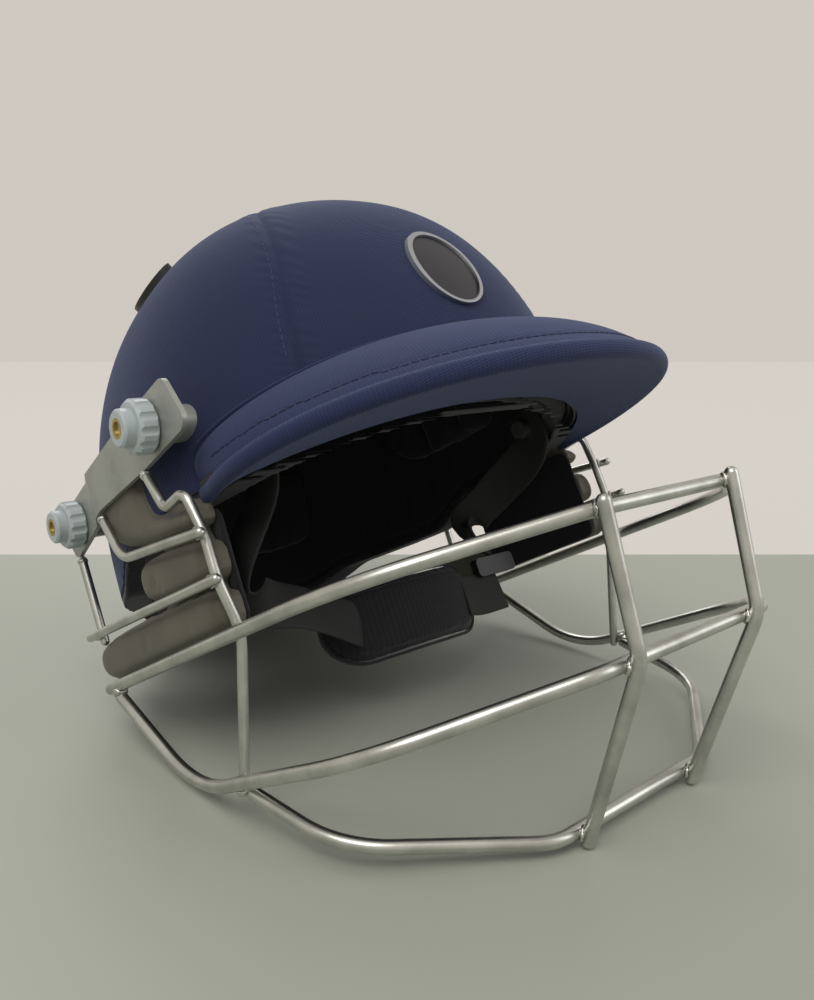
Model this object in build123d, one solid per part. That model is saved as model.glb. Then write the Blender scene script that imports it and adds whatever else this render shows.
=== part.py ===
from build123d import *
import math
import os

# A cricket helmet: a fabric covered shell with a peak, a welded steel face guard that four
# thumb nuts hold through slotted side plates, foam ear pads and a padded chin strap.
# Places are given on the helmet as it is worn, in millimetres: X across the head, Y from the
# face to the nape, Z upwards, with the plane of symmetry at X = 0. The last step tips it all
# back, so that it stands on the guard's two lower tips and on the nape of the rim.

os.makedirs("parts", exist_ok=True)

# Outer shell, measured over its fabric. The waist is its widest level.
shell_half_width = 105.8
shell_front_reach = 102.2
shell_rear_reach = 143.0
shell_rise = 145.1
waist_y = 97.7
waist_z = 137.7
skirt_drop = 32.0
skirt_tuck = 2.0
plan_power = 2.15
profile_power = 2.6
plan_points = 20
level_shares = (0.0, 0.2, 0.38, 0.54, 0.68, 0.8, 0.89, 0.95, 0.983, 0.9965)

# Layers of the shell, from the outside in
cover_thickness = 1.2
shell_wall = 3.0
liner_thickness = 9.0
layer_gap = 0.1
overrun = 20.0

# Lower rim in side view: brow, ear, the step down behind the ear, neck and nape
rim_brow_z = 157.0
rim_ear_y = 60.0
rim_ear_z = 151.5
rim_step_y = 127.0
rim_step_z = 149.5
rim_neck_y = 150.0
rim_neck_z = 136.5
rim_nape_y = 205.0
rim_nape_z = 136.0
rim_dip_y = 232.0
rim_dip_z = 122.5
rim_band_height = 5.0
rim_round = 16.0

# Peak: it fades out at each ear
peak_reach = 38.0
peak_end_reach = 2.6
peak_end_angle = 69.0
peak_floor_z = 152.5
peak_floor_lift = 5.0
peak_root_z = 169.0
peak_root_lift = 19.0
peak_root_power = 0.6
peak_nose = 3.5
peak_skin = 1.2
peak_bury = 16.0
peak_stations = 13
welt_height = 1.3
welt_half_height = 2.2

# Seam of the crown panel in side view, from the peak up over the crown
seam_foot_y = 21.0
seam_foot_z = 185.0
seam_low_y = 22.5
seam_low_z = 200.0
seam_middle_y = 27.0
seam_middle_z = 229.0
seam_high_y = 46.0
seam_high_z = 262.0
seam_top_y = 66.0
seam_top_z = 277.0

# Plain oval plate on the brow, and the two vent covers
badge_z = 217.0
badge_width = 32.0
badge_height = 38.0
badge_thickness = 1.2
badge_rim = 2.0
badge_rim_height = 0.8
vent_x = 77.0
vent_y = 114.0
vent_lean = 33.0
vent_length = 34.0
vent_width = 18.0
vent_height = 3.0
vent_slot_width = 2.0
vent_slot_pitch = 5.0
vent_slots = 3
vent_slot_depth = 1.6

# Padding inside the liner
pad_thickness = 8.0
pad_taper = 22.0
sweatband_height = 30.0
sweatband_thickness = 6.0
sweatband_rear_y = 38.0
crown_pad_length = 110.0
crown_pad_width = 72.0
crown_pad_y = 106.0
pad_channel = 5.0
pad_channel_depth = 4.0
side_pad_y = 118.0
side_pad_length = 84.0
side_pad_z = 196.0
side_pad_height = 46.0
rear_pad_z = 178.0
rear_pad_width = 100.0
rear_pad_height = 52.0
pad_corner = 14.0
pad_gap = 0.4

# Face guard wires. Half widths are from the plane of symmetry to a wire's centre line.
main_wire = 5.0
side_wire = 3.8
weld_sink = 0.25
bead_swell = 0.7
plate_bead_swell = 0.4
weld_turn = Rot(20, 35, 50)
top_bar_z = 101.0
top_bar_rear_y = 158.0
top_bar_rear_half = 113.0
top_bar_side_y = -13.5
top_bar_side_half = 108.4
top_bar_side_bend = 56.0
top_bar_front_y = -54.2
top_bar_front_half = 39.0
top_bar_front_bend = 11.0
middle_bar_z = 52.6
middle_bar_front_z = 54.1
middle_bar_end_y = 149.5
middle_bar_rise_y = 103.0
middle_bar_rise_bend = 58.0
middle_bar_half = 111.6
middle_bar_side_y = -2.0
middle_bar_side_bend = 40.0
middle_bar_front_y = -44.3
middle_bar_front_half = 48.5
middle_bar_front_bend = 17.0
bottom_bar_z = 3.8
bottom_bar_slope = 0.65
bottom_bar_end_y = 70.0
bottom_bar_end_half = 108.4
bottom_bar_side_y = 34.0
bottom_bar_side_half = 102.0
bottom_bar_side_bend = 38.0
bottom_bar_front_y = 0.8
bottom_bar_front_half = 44.0
bottom_bar_front_bend = 22.0
vertical_top_half = 37.0
vertical_top_y = -58.6
vertical_top_z = 102.2
vertical_bend_half = 35.4
vertical_bend_y = -50.0
vertical_bend_z = 53.3
vertical_bend = 18.0
vertical_tip_half = 31.5
vertical_tip_y = -1.4
vertical_tip_z = 0.2

# Side wires and ear bars
side_wire_top_y = 77.0
side_wire_trough_y = 69.5
side_wire_trough_z = 152.6
side_wire_crest_y = 53.0
side_wire_crest_z = 153.8
side_wire_joggle_bend = 5.0
side_wire_crest_half = 110.6
side_wire_ear_y = 50.2
side_wire_ear_z = 137.0
side_wire_ear_half = 109.0
side_wire_low_y = 50.0
side_wire_low_z = 120.0
side_wire_neck_z = 101.0
side_wire_neck_y = 52.6
side_wire_foot_y = 75.0
side_wire_foot_z = 50.5
side_wire_bend = 30.0
ear_bar_half = 113.0
upper_ear_bar_front_y = 45.5
upper_ear_bar_front_z = 136.8
upper_ear_bar_turn_y = 112.2
upper_ear_bar_z = 145.9
upper_ear_bar_bend = 18.0
upper_ear_bar_end_y = 126.0
lower_ear_bar_front_y = 43.5
lower_ear_bar_front_z = 119.8
lower_ear_bar_middle_y = 105.0
lower_ear_bar_z = 122.6
lower_ear_bar_bend = 160.0
lower_ear_bar_end_y = 172.0
lower_ear_bar_end_z = 125.8
lower_ear_bar_end_half = 110.9
rear_wire_y = 166.5
rear_wire_overhang = 3.6

# Side plates: a flat strip with a step inwards near its rear end
plate_thickness = 2.0
plate_front_half = 112.0
plate_rear_half = 109.0
plate_step_y = 130.0
plate_step_end_y = 139.0
plate_front_low_y = 35.0
plate_front_low_z = 172.0
plate_front_high_y = 44.0
plate_front_high_z = 193.5
plate_top_y = 85.0
plate_top_z = 192.0
plate_back_y = 130.0
plate_back_z = 188.0
plate_bottom_y = 75.0
plate_bottom_z = 170.0
plate_underside_y = 124.0
plate_rear_low_y = 169.0
plate_rear_low_z = 161.0
plate_rear_high_y = 175.0
plate_rear_high_z = 172.0
plate_rear_shoulder_y = 160.0
plate_rear_shoulder_z = 184.0
plate_corner = 4.5

# Studs, spacers and thumb nuts
front_stud_y = 62.0
front_stud_z = 182.0
rear_stud_y = 156.0
rear_stud_z = 174.0
stud_diameter = 5.0
stud_head_diameter = 14.0
stud_head_thickness = 2.5
spacer_diameter = 14.0
fit_clearance = 0.3
bore_clearance = 0.05
hole_clearance = 0.5
skirt_diameter = 20.5
skirt_height = 7.5
skirt_lobes = 12
lobe_groove = 2.2
groove_depth = 0.9
skirt_chamfer = 1.2
cap_diameter = 14.0
cap_height = 4.5
cap_chamfer = 0.8
insert_diameter = 7.6
stud_recess = 1.0

# Ear pads: three cushioned sections on one web, lined on the inside. Each slants upwards
# towards the back, and the upper one is hollowed to lie against the shell.
ear_pad_front_y = 55.4
ear_pad_face = 100.2
ear_pad_crown = 110.6
ear_pad_web = 98.8
ear_lining_thickness = 1.8
upper_pad_length = 63.0
upper_pad_low_z = 141.5
upper_pad_high_z = 182.0
upper_pad_slant = 7.5
upper_pad_corner = 13.0
middle_pad_length = 48.0
middle_pad_low_z = 121.5
middle_pad_high_z = 134.5
middle_pad_slant = 6.5
lower_pad_length = 107.0
lower_pad_low_z = 103.6
lower_pad_high_z = 117.8
lower_pad_slant = 1.8
ear_pad_corner = 5.5
pad_draw_in = 1.2
pad_round = 3.6
cushion_height_shares = (0.0, 0.35, 0.7, 1.0)
web_rim_gap = 1.6
web_set_back = 5.0
wire_relief = 0.5
lining_rear_y = 127.0

# Chin strap, hanging from two pins inside the shell. Its places are for the left side.
strap_pin_y = 57.0
strap_pin_z = 162.0
strap_pin_diameter = 4.0
strap_pin_head = 9.0
strap_pin_head_thickness = 1.5
eyelet_diameter = 8.6
eyelet_proud = 0.4
strap_width = 20.0
strap_thickness = 1.8
strap_tab_rise = 9.0
strap_tab_half = 74.0
strap_cheek_half = 88.0
strap_cheek_y = 77.0
strap_cheek_z = 120.0
strap_turn_half = 60.0
strap_turn_y = 78.0
strap_turn_z = 106.0
strap_rise_half = 64.0
strap_rise_y = 103.0
strap_rise_z = 129.0
strap_bend_half = 74.0
strap_bend_y = 88.0
strap_bend_z = 140.0
strap_band_half = 52.0
strap_band_y = 89.0
strap_band_z = 93.0
side_face_share = (1.0, 0.0, 0.0)
turn_face_share = (0.5, -0.75, 0.45)
chin_face_share = (0.0, -1.0, 0.15)
band_face_share = (-0.45, -0.9, 0.1)
rise_face_share = (0.8, 0.1, 0.6)
cup_half_length = 43.0
cup_y = 93.0
cup_z = 94.5
cup_height = 32.0
cup_thickness = 9.0
cup_bow = 12.0
cup_round = 3.0
cup_binding = 1.4
cup_grip = 12.0
slider_half = 57.5
slider_y = 89.0
slider_z = 105.0
slider_length = 9.0
slider_width = 25.0
slider_thickness = 4.6


# Small helpers
def mirrored(shape):
    return mirror(shape, about=Plane.YZ)


def both_sides(shape):
    return [shape, mirrored(shape)]


def one_of(shapes):
    pieces = [solid for shape in shapes for solid in shape.solids()]
    return Compound(children=pieces)


def across(outline, start, end):
    """Extrude an outline of (y, z) along X from start to end."""
    face = Plane(origin=(start, 0, 0), x_dir=(0, 1, 0), z_dir=(1, 0, 0)) * outline
    return extrude(face, end - start)


def rod_across(y, z, radius, start, end):
    return across(Pos(y, z) * Circle(radius), start, end)


# Shell
def plan_reach(angle):
    """Radius shares of the plan about the waist point, at an angle from the front."""
    side, front = math.sin(angle), math.cos(angle)
    reach = shell_front_reach if front > 0 else shell_rear_reach
    side_term = abs(side / shell_half_width) ** plan_power
    front_term = abs(front / reach) ** plan_power
    return (side_term + front_term) ** (-1 / plan_power)


def spread_at(z):
    """Share of the full plan that the shell has at a level."""
    if z < waist_z:
        return 1 - skirt_tuck / shell_half_width * (waist_z - z) / skirt_drop
    share = (z - waist_z) / shell_rise
    return (1 - share**profile_power) ** (1 / profile_power)


def dome_radius(angle, z):
    return spread_at(z) * plan_reach(angle)


def dome_half_width(y, z, inset):
    """Half width of a layer of the shell at a place in side view."""
    reach = shell_front_reach if y < waist_y else shell_rear_reach
    spread = spread_at(z)
    along = abs(y - waist_y) / ((reach - inset) * spread)
    return (shell_half_width - inset) * spread * (1 - along**plan_power) ** (1 / plan_power)


def dome_ring(z, spread, inset):
    points = []
    for number in range(plan_points):
        turn = 2 * math.pi * (number + 0.5) / plan_points
        across_share, along_share = math.cos(turn), math.sin(turn)
        reach = shell_rear_reach if along_share > 0 else shell_front_reach
        x = math.copysign(abs(across_share) ** (2 / plan_power), across_share)
        y = math.copysign(abs(along_share) ** (2 / plan_power), along_share)
        x = x * (shell_half_width - inset) * spread
        y = waist_y + y * (reach - inset) * spread
        points.append(Vector(x, y, z))
    return Wire([Edge.make_spline(points, periodic=True)])


def dome(inset):
    """Solid inside of the shell's outer face, moved in by inset."""
    rise = shell_rise - inset
    rings = [dome_ring(waist_z - skirt_drop, 1 - skirt_tuck / shell_half_width, inset)]
    for share in level_shares:
        spread = (1 - share**profile_power) ** (1 / profile_power)
        rings.append(dome_ring(waist_z + rise * share, spread, inset))
    return Solid.make_loft(rings + [Vertex(0, waist_y, waist_z + rise)])


def above_rim(lift):
    """Everything above the rim line, moved up by lift."""
    front = waist_y - shell_front_reach - peak_reach - overrun
    rear = waist_y + shell_rear_reach + overrun
    top = waist_z + shell_rise + overrun
    low = FilletPolyline(
        (front, rim_brow_z + lift),
        (0, rim_brow_z + lift),
        (rim_ear_y, rim_ear_z + lift),
        (rim_step_y, rim_step_z + lift),
        (rim_neck_y, rim_neck_z + lift),
        (rim_nape_y, rim_nape_z + lift),
        (rim_dip_y, rim_dip_z + lift),
        (rear, rim_dip_z + lift),
        radius=rim_round,
    )
    rest = Polyline((rear, rim_dip_z + lift), (rear, top), (front, top), (front, rim_brow_z + lift))
    outline = make_face(low.edges() + rest.edges())
    half = shell_half_width + overrun
    return across(outline, -half, half)


def crown_side():
    """Everything behind the crown panel's seam."""
    rear = waist_y + shell_rear_reach + overrun
    top = waist_z + shell_rise + overrun
    bottom = waist_z - skirt_drop - overrun
    seam = Spline(
        (seam_foot_y, seam_foot_z),
        (seam_low_y, seam_low_z),
        (seam_middle_y, seam_middle_z),
        (seam_high_y, seam_high_z),
        (seam_top_y, seam_top_z),
    )
    rest = Polyline(
        (seam_top_y, seam_top_z), (seam_top_y, top), (rear, top), (rear, bottom), (seam_foot_y, bottom),
        (seam_foot_y, seam_foot_z),
    )
    half = shell_half_width + overrun
    return across(make_face(seam.edges() + rest.edges()), -half, half)


# Peak
def peak_section(angle, skin):
    """One section of the peak, moved in by skin: upper face, nose, underside, buried back."""
    share = math.degrees(abs(angle)) / peak_end_angle
    fade = math.cos(math.pi / 2 * min(share, 1))
    floor_z = peak_floor_z + peak_floor_lift * math.cos(angle) ** 2 + skin
    root_z = peak_root_z + peak_root_lift * fade**peak_root_power - skin
    reach = peak_end_reach + (peak_reach - peak_end_reach) * fade
    nose_radius = dome_radius(angle, floor_z) + reach - skin
    root_radius = dome_radius(angle, root_z)
    nose = peak_nose - skin
    direction = Vector(math.sin(angle), -math.cos(angle), 0)
    plane = Plane(origin=(0, waist_y, 0), x_dir=direction, z_dir=direction.cross(Vector(0, 0, 1)))
    top_start = (nose_radius - nose, floor_z + 2 * nose)
    mid = ((nose_radius + root_radius) / 2, (floor_z + 2 * nose + root_z) / 2)
    bulge = nose * fade
    upper = ThreePointArc((root_radius, root_z), (mid[0] + bulge, mid[1] + bulge), top_start)
    edge = ThreePointArc(top_start, (nose_radius, floor_z + nose), (nose_radius - nose, floor_z))
    buried = root_radius - peak_bury
    under = Line((nose_radius - nose, floor_z), (buried, floor_z))
    back = Line((buried, floor_z), (buried, root_z))
    inner = Line((buried, root_z), (root_radius, root_z))
    return plane * Wire(upper.edges() + edge.edges() + under.edges() + back.edges() + inner.edges())


def peak_solid(skin):
    sections = []
    for number in range(peak_stations):
        share = 2 * number / (peak_stations - 1) - 1
        sections.append(peak_section(math.radians(peak_end_angle * share), skin))
    return Solid.make_loft(sections)


def welt_solid():
    """Raised piping along the line where the peak leaves the shell."""
    sections = []
    for number in range(peak_stations):
        share = 2 * number / (peak_stations - 1) - 1
        angle = math.radians(peak_end_angle * share)
        fade = math.cos(math.pi / 2 * abs(share))
        root_z = peak_root_z + peak_root_lift * fade**peak_root_power
        radius = dome_radius(angle, root_z)
        direction = Vector(math.sin(angle), -math.cos(angle), 0)
        plane = Plane(origin=(0, waist_y, 0), x_dir=direction, z_dir=direction.cross(Vector(0, 0, 1)))
        outline = Pos(radius, root_z) * Ellipse(welt_height, welt_half_height)
        sections.append(plane * outline.wire())
    return Solid.make_loft(sections)


# Solids that the layers are cut from. Neighbouring layers keep the layer gap between them.
shell_depth = cover_thickness + shell_wall
liner_depth = shell_depth + liner_thickness
outer = dome(0)
over_cover = dome(-layer_gap)
cover_back = dome(cover_thickness - layer_gap)
inside_shell = dome(shell_depth)
liner_front = dome(shell_depth + layer_gap)
inside_liner = dome(liner_depth)
above_band = above_rim(rim_band_height)
peak_core = peak_solid(peak_skin) - dome(cover_thickness + shell_wall / 2)
peak_inside = peak_solid(peak_skin - layer_gap)
over_peak = peak_solid(-layer_gap)


def outer_shell():
    wall = (dome(cover_thickness) - inside_shell) & above_band
    body = wall + peak_core
    for y, z, _ in stud_places():
        half = shell_half_width + overrun
        body -= rod_across(y, z, stud_diameter / 2, -half, half)
    return body


def cover_panels():
    layer = ((outer - cover_back) & above_band) - peak_inside
    for y, z, _ in stud_places():
        half = shell_half_width + overrun
        layer -= rod_across(y, z, stud_diameter / 2, -half, half)
    behind = crown_side()
    return layer - behind, layer & behind


def peak_cover():
    return peak_solid(0) - peak_inside - over_cover


def peak_welt():
    return welt_solid() - over_cover - over_peak


def rim_binding():
    band = ((outer - inside_liner) & above_rim(0)) - above_rim(rim_band_height - layer_gap)
    return band - over_peak


# Padding
def foam_liner():
    body = (liner_front - inside_liner) & above_band
    for y, z, _ in stud_places():
        for side in (-1, 1):
            depth = dome_half_width(y, z, shell_depth)
            start = side * (depth - stud_head_thickness - layer_gap)
            body -= rod_across(y, z, stud_head_diameter / 2 + layer_gap, start, side * shell_half_width)
    return body


def pad_layer(thickness):
    return dome(liner_depth + layer_gap) - dome(liner_depth + thickness)


def sweatband():
    layer = pad_layer(sweatband_thickness)
    low = waist_y - shell_front_reach - overrun
    centre_z = rim_brow_z + rim_band_height + sweatband_height / 2
    band = Rectangle(sweatband_rear_y - low, sweatband_height)
    band = Pos((sweatband_rear_y + low) / 2, centre_z) * band
    half = shell_half_width + overrun
    region = across(band, -half, half)
    return layer & region


def crown_pad():
    layer = pad_layer(pad_thickness)
    top = waist_z + shell_rise
    outline = RectangleRounded(crown_pad_width, crown_pad_length, pad_corner)
    plane = Plane(origin=(0, crown_pad_y, top), x_dir=(1, 0, 0), z_dir=(0, 0, -1))
    region = extrude(plane * outline, shell_rise / 2, taper=pad_taper)
    pad = layer & region
    pitch = crown_pad_length / 3
    cut_z = top - liner_depth - pad_thickness
    for number in (-1, 1):
        groove = Box(shell_half_width, pad_channel, 2 * pad_channel_depth)
        pad -= Pos(0, crown_pad_y + number * pitch / 2, cut_z) * groove
    return pad


def side_pad():
    layer = pad_layer(pad_thickness)
    outline = RectangleRounded(side_pad_length, side_pad_height, pad_corner)
    plane = Plane(origin=(shell_half_width, side_pad_y, side_pad_z), x_dir=(0, 1, 0), z_dir=(-1, 0, 0))
    region = extrude(plane * outline, shell_half_width - overrun, taper=pad_taper / 2)
    pad = layer & region
    depth = dome_half_width(side_pad_y, side_pad_z, liner_depth + pad_thickness)
    groove = Box(2 * pad_channel_depth, pad_channel, shell_rise)
    for number in (-1, 1):
        pad -= Pos(depth, side_pad_y + number * side_pad_length / 6, side_pad_z) * groove
    return pad


def rear_pad():
    layer = pad_layer(pad_thickness)
    rear = waist_y + shell_rear_reach
    outline = RectangleRounded(rear_pad_width, rear_pad_height, pad_corner)
    plane = Plane(origin=(0, rear, rear_pad_z), x_dir=(1, 0, 0), z_dir=(0, -1, 0))
    region = extrude(plane * outline, shell_rear_reach / 2, taper=pad_taper / 2)
    pad = layer & region
    face = rear - liner_depth - pad_thickness
    groove = Box(pad_channel, 2 * pad_channel_depth, shell_rise)
    for number in (-1, 1):
        pad -= Pos(number * rear_pad_width / 6, face, rear_pad_z) * groove
    return pad


# Badge place and vents
def badge_plate():
    front = waist_y - shell_front_reach
    plane = Plane(origin=(0, front - overrun, badge_z), x_dir=(1, 0, 0), z_dir=(0, 1, 0))
    through = shell_front_reach / 2 + overrun
    whole = extrude(plane * Ellipse(badge_width / 2, badge_height / 2), through)
    inner = extrude(plane * Ellipse(badge_width / 2 - badge_rim, badge_height / 2 - badge_rim), through)
    plate = (dome(-badge_thickness) - over_cover) & whole
    rim = (dome(-badge_thickness - badge_rim_height) - over_cover) & (whole - inner)
    return plate + rim


def vent_cover():
    top = waist_z + shell_rise
    plane = Plane(origin=(vent_x, vent_y, top), x_dir=(0, 1, 0), z_dir=(0, 0, 1))
    plane = plane.rotated((0, vent_lean, 0))
    outline = plane * Ellipse(vent_length / 2, vent_width / 2)
    region = extrude(outline, -shell_rise) + extrude(outline, overrun)
    cap = (dome(-vent_height) - over_cover) & region
    skin = dome(-vent_height + vent_slot_depth)
    for number in range(vent_slots):
        place = (number - (vent_slots - 1) / 2) * vent_slot_pitch
        slot = plane * Pos(0, place, 0) * Box(vent_length - vent_width, vent_slot_width, 2 * shell_rise)
        cap -= slot - skin
    return cap


# Studs, spacers and thumb nuts
def stud_places():
    """Side view place of each stud, with the half width of the plate's outer face there."""
    return (
        (front_stud_y, front_stud_z, plate_front_half),
        (rear_stud_y, rear_stud_z, plate_rear_half),
    )


def stud_end(plate_half):
    return plate_half + fit_clearance + skirt_height + cap_height - stud_recess


def side_studs():
    studs = []
    for y, z, plate_half in stud_places():
        depth = dome_half_width(y, z, shell_depth)
        rod = rod_across(y, z, stud_diameter / 2, depth - stud_head_thickness, stud_end(plate_half))
        head = rod_across(y, z, stud_head_diameter / 2, depth - stud_head_thickness, depth + overrun)
        studs.append(rod + (head & liner_front))
    return one_of([side for stud in studs for side in both_sides(stud)])


def stud_spacers():
    spacers = []
    for y, z, plate_half in stud_places():
        start = dome_half_width(y, z, shell_depth)
        end = plate_half - plate_thickness
        ring = rod_across(y, z, spacer_diameter / 2, start, end) - over_cover
        spacers.append(ring - rod_across(y, z, stud_diameter / 2, 0, end + overrun))
    return one_of([side for spacer in spacers for side in both_sides(spacer)])


def thumb_nut(y, z, plate_half):
    """Ribbed plastic nut with a bevelled skirt and a round cap, bored for its insert."""
    start = plate_half + fit_clearance
    ribbed = Circle(skirt_diameter / 2)
    groove_place = skirt_diameter / 2 - groove_depth + lobe_groove
    ribbed -= PolarLocations(groove_place, skirt_lobes) * Circle(lobe_groove)
    skirt = across(Pos(y, z) * ribbed, start, start + skirt_height)
    envelope = rod_across(y, z, skirt_diameter / 2, start, start + skirt_height)
    ends = envelope.edges().filter_by(GeomType.CIRCLE)
    skirt = skirt & chamfer(ends, skirt_chamfer)
    cap = rod_across(y, z, cap_diameter / 2, start + skirt_height, start + skirt_height + cap_height)
    rim = cap.edges().filter_by(GeomType.CIRCLE).sort_by(Axis.X)[-1]
    nut = skirt + chamfer(rim, cap_chamfer)
    end = start + skirt_height + cap_height
    return nut - rod_across(y, z, insert_diameter / 2, start, end)


def nut_insert(y, z, plate_half):
    start = plate_half + fit_clearance
    end = start + skirt_height + cap_height
    ring = rod_across(y, z, insert_diameter / 2, start, end)
    return ring - rod_across(y, z, stud_diameter / 2 + bore_clearance, start, end)


# Side plates
def side_plate():
    outline = FilletPolyline(
        (plate_front_low_y, plate_front_low_z),
        (plate_bottom_y, plate_bottom_z),
        (plate_underside_y, plate_bottom_z),
        (plate_rear_low_y, plate_rear_low_z),
        (plate_rear_high_y, plate_rear_high_z),
        (plate_rear_shoulder_y, plate_rear_shoulder_z),
        (plate_back_y, plate_back_z),
        (plate_top_y, plate_top_z),
        (plate_front_high_y, plate_front_high_z),
        radius=plate_corner,
        close=True,
    )
    side = across(make_face(outline.edges()), 0, plate_front_half + overrun)
    front = plate_front_low_y - overrun
    rear = plate_rear_high_y + overrun
    faces = []
    for inset in (0, plate_thickness):
        faces.append(
            Polyline(
                (plate_front_half - inset, front),
                (plate_front_half - inset, plate_step_y),
                (plate_rear_half - inset, plate_step_end_y),
                (plate_rear_half - inset, rear),
            )
        )
    ends = [Line(faces[0] @ share, faces[1] @ share) for share in (0, 1)]
    ribbon = make_face(faces[0].edges() + faces[1].edges() + ends[0].edges() + ends[1].edges())
    low = plate_rear_low_z - overrun
    strip_solid = Pos(0, 0, low) * extrude(ribbon, plate_front_high_z + overrun - low)
    plate = side & strip_solid
    for y, z, _ in stud_places():
        plate -= rod_across(y, z, stud_diameter / 2 + hole_clearance, 0, plate_front_half + overrun)
    return plate


# Wires of the guard
def bar_path(points, bends):
    if len(points) == 2:
        return Line(*points)
    return FilletPolyline(*points, radius=bends)


def bar(path, wire):
    """Round wire along a path, with rounded ends."""
    profile = Plane(origin=path @ 0, z_dir=path % 0) * Circle(wire / 2)
    rod = sweep(profile, path=path)
    return rod + Pos(*(path @ 0)) * Sphere(wire / 2) + Pos(*(path @ 1)) * Sphere(wire / 2)


def full_width(points, bends):
    """Points and bends of a bar that runs across the face, from its right half."""
    left = [(-x, y, z) for x, y, z in points]
    return left[::-1] + points, bends[::-1] + bends


def top_bar_path():
    points = [
        (top_bar_front_half, top_bar_front_y, top_bar_z),
        (top_bar_side_half, top_bar_side_y, top_bar_z),
        (top_bar_rear_half, top_bar_rear_y, top_bar_z),
    ]
    return bar_path(*full_width(points, [top_bar_front_bend, top_bar_side_bend]))


def middle_bar_path():
    points = [
        (middle_bar_front_half, middle_bar_front_y, middle_bar_front_z),
        (middle_bar_half, middle_bar_side_y, middle_bar_z),
        (middle_bar_half, middle_bar_rise_y, middle_bar_z),
        (top_bar_rear_half, middle_bar_end_y, top_bar_z - main_wire + weld_sink),
    ]
    bends = [middle_bar_front_bend, middle_bar_side_bend, middle_bar_rise_bend]
    return bar_path(*full_width(points, bends))


def on_bottom_plane(half, y):
    return (half, y, bottom_bar_z + bottom_bar_slope * y)


def bottom_bar_path():
    points = [
        on_bottom_plane(bottom_bar_front_half, bottom_bar_front_y),
        on_bottom_plane(bottom_bar_side_half, bottom_bar_side_y),
        on_bottom_plane(bottom_bar_end_half, bottom_bar_end_y),
    ]
    return bar_path(*full_width(points, [bottom_bar_front_bend, bottom_bar_side_bend]))


def vertical_bar_path():
    points = [
        (vertical_top_half, vertical_top_y, vertical_top_z),
        (vertical_bend_half, vertical_bend_y, vertical_bend_z),
        (vertical_tip_half, vertical_tip_y, vertical_tip_z),
    ]
    return bar_path(points, [vertical_bend])


def side_wire_path():
    inside_main = (main_wire + side_wire) / 2 - weld_sink
    plate_middle = plate_front_half - plate_thickness / 2
    points = [
        (plate_middle, side_wire_top_y, plate_bottom_z - side_wire / 2 + weld_sink),
        (plate_middle, side_wire_trough_y, side_wire_trough_z),
        (side_wire_crest_half, side_wire_crest_y, side_wire_crest_z),
        (side_wire_ear_half, side_wire_ear_y, side_wire_ear_z),
        (side_wire_ear_half, side_wire_low_y, side_wire_low_z),
        (top_bar_side_half - inside_main, side_wire_neck_y, side_wire_neck_z),
        (middle_bar_half - inside_main, side_wire_foot_y, side_wire_foot_z),
    ]
    bends = [side_wire_joggle_bend, side_wire_joggle_bend, side_wire_bend, side_wire_bend, side_wire_bend]
    return bar_path(points, bends)


def upper_ear_bar_path():
    plate_middle = plate_front_half - plate_thickness / 2
    points = [
        (ear_bar_half, upper_ear_bar_front_y, upper_ear_bar_front_z),
        (ear_bar_half, upper_ear_bar_turn_y, upper_ear_bar_z),
        (plate_middle, upper_ear_bar_end_y, plate_bottom_z - side_wire),
    ]
    return bar_path(points, [upper_ear_bar_bend])


def lower_ear_bar_path():
    points = [
        (ear_bar_half, lower_ear_bar_front_y, lower_ear_bar_front_z),
        (ear_bar_half, lower_ear_bar_middle_y, lower_ear_bar_z),
        (lower_ear_bar_end_half, lower_ear_bar_end_y, lower_ear_bar_end_z),
    ]
    return bar_path(points, [lower_ear_bar_bend])


def rear_wire_path():
    foot_half = lower_ear_bar_end_half - side_wire + weld_sink
    points = [
        (plate_rear_half - plate_thickness / 2, rear_wire_y, plate_rear_low_z - side_wire / 2 + weld_sink),
        (foot_half, rear_wire_y, lower_ear_bar_end_z - rear_wire_overhang),
    ]
    return bar_path(points, [])


def weld_place(path_a, path_b, wire_a, wire_b):
    """Point where two wires touch, between their nearest points."""
    _, near_a, near_b = path_a.distance_to_with_closest_points(path_b)
    share = wire_a / (wire_a + wire_b)
    return near_a + (near_b - near_a) * share


# Ear pads
def cushion(length, low, high, slant, face, crown, corner):
    """Pillow with drawn-in sides whose crown faces outwards, slanting up towards the back."""
    sections = []
    place = Pos(ear_pad_front_y, (low + high) / 2) * Rot(Z=slant) * Pos(length / 2, 0)
    for share, inset in zip(cushion_height_shares, (pad_draw_in, 0, pad_draw_in, pad_round)):
        outline = RectangleRounded(length - 2 * inset, high - low - 2 * inset, corner - inset)
        plane = Plane(origin=(face + share * (crown - face), 0, 0), x_dir=(0, 1, 0), z_dir=(1, 0, 0))
        sections.append((plane * place * outline).wire())
    return Solid.make_loft(sections)


def web_top():
    return rim_step_z - web_rim_gap


def web_outline(length, low, high):
    outline = RectangleRounded(length, high - low, ear_pad_corner)
    return Pos(ear_pad_front_y + length / 2, (low + high) / 2) * outline


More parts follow.
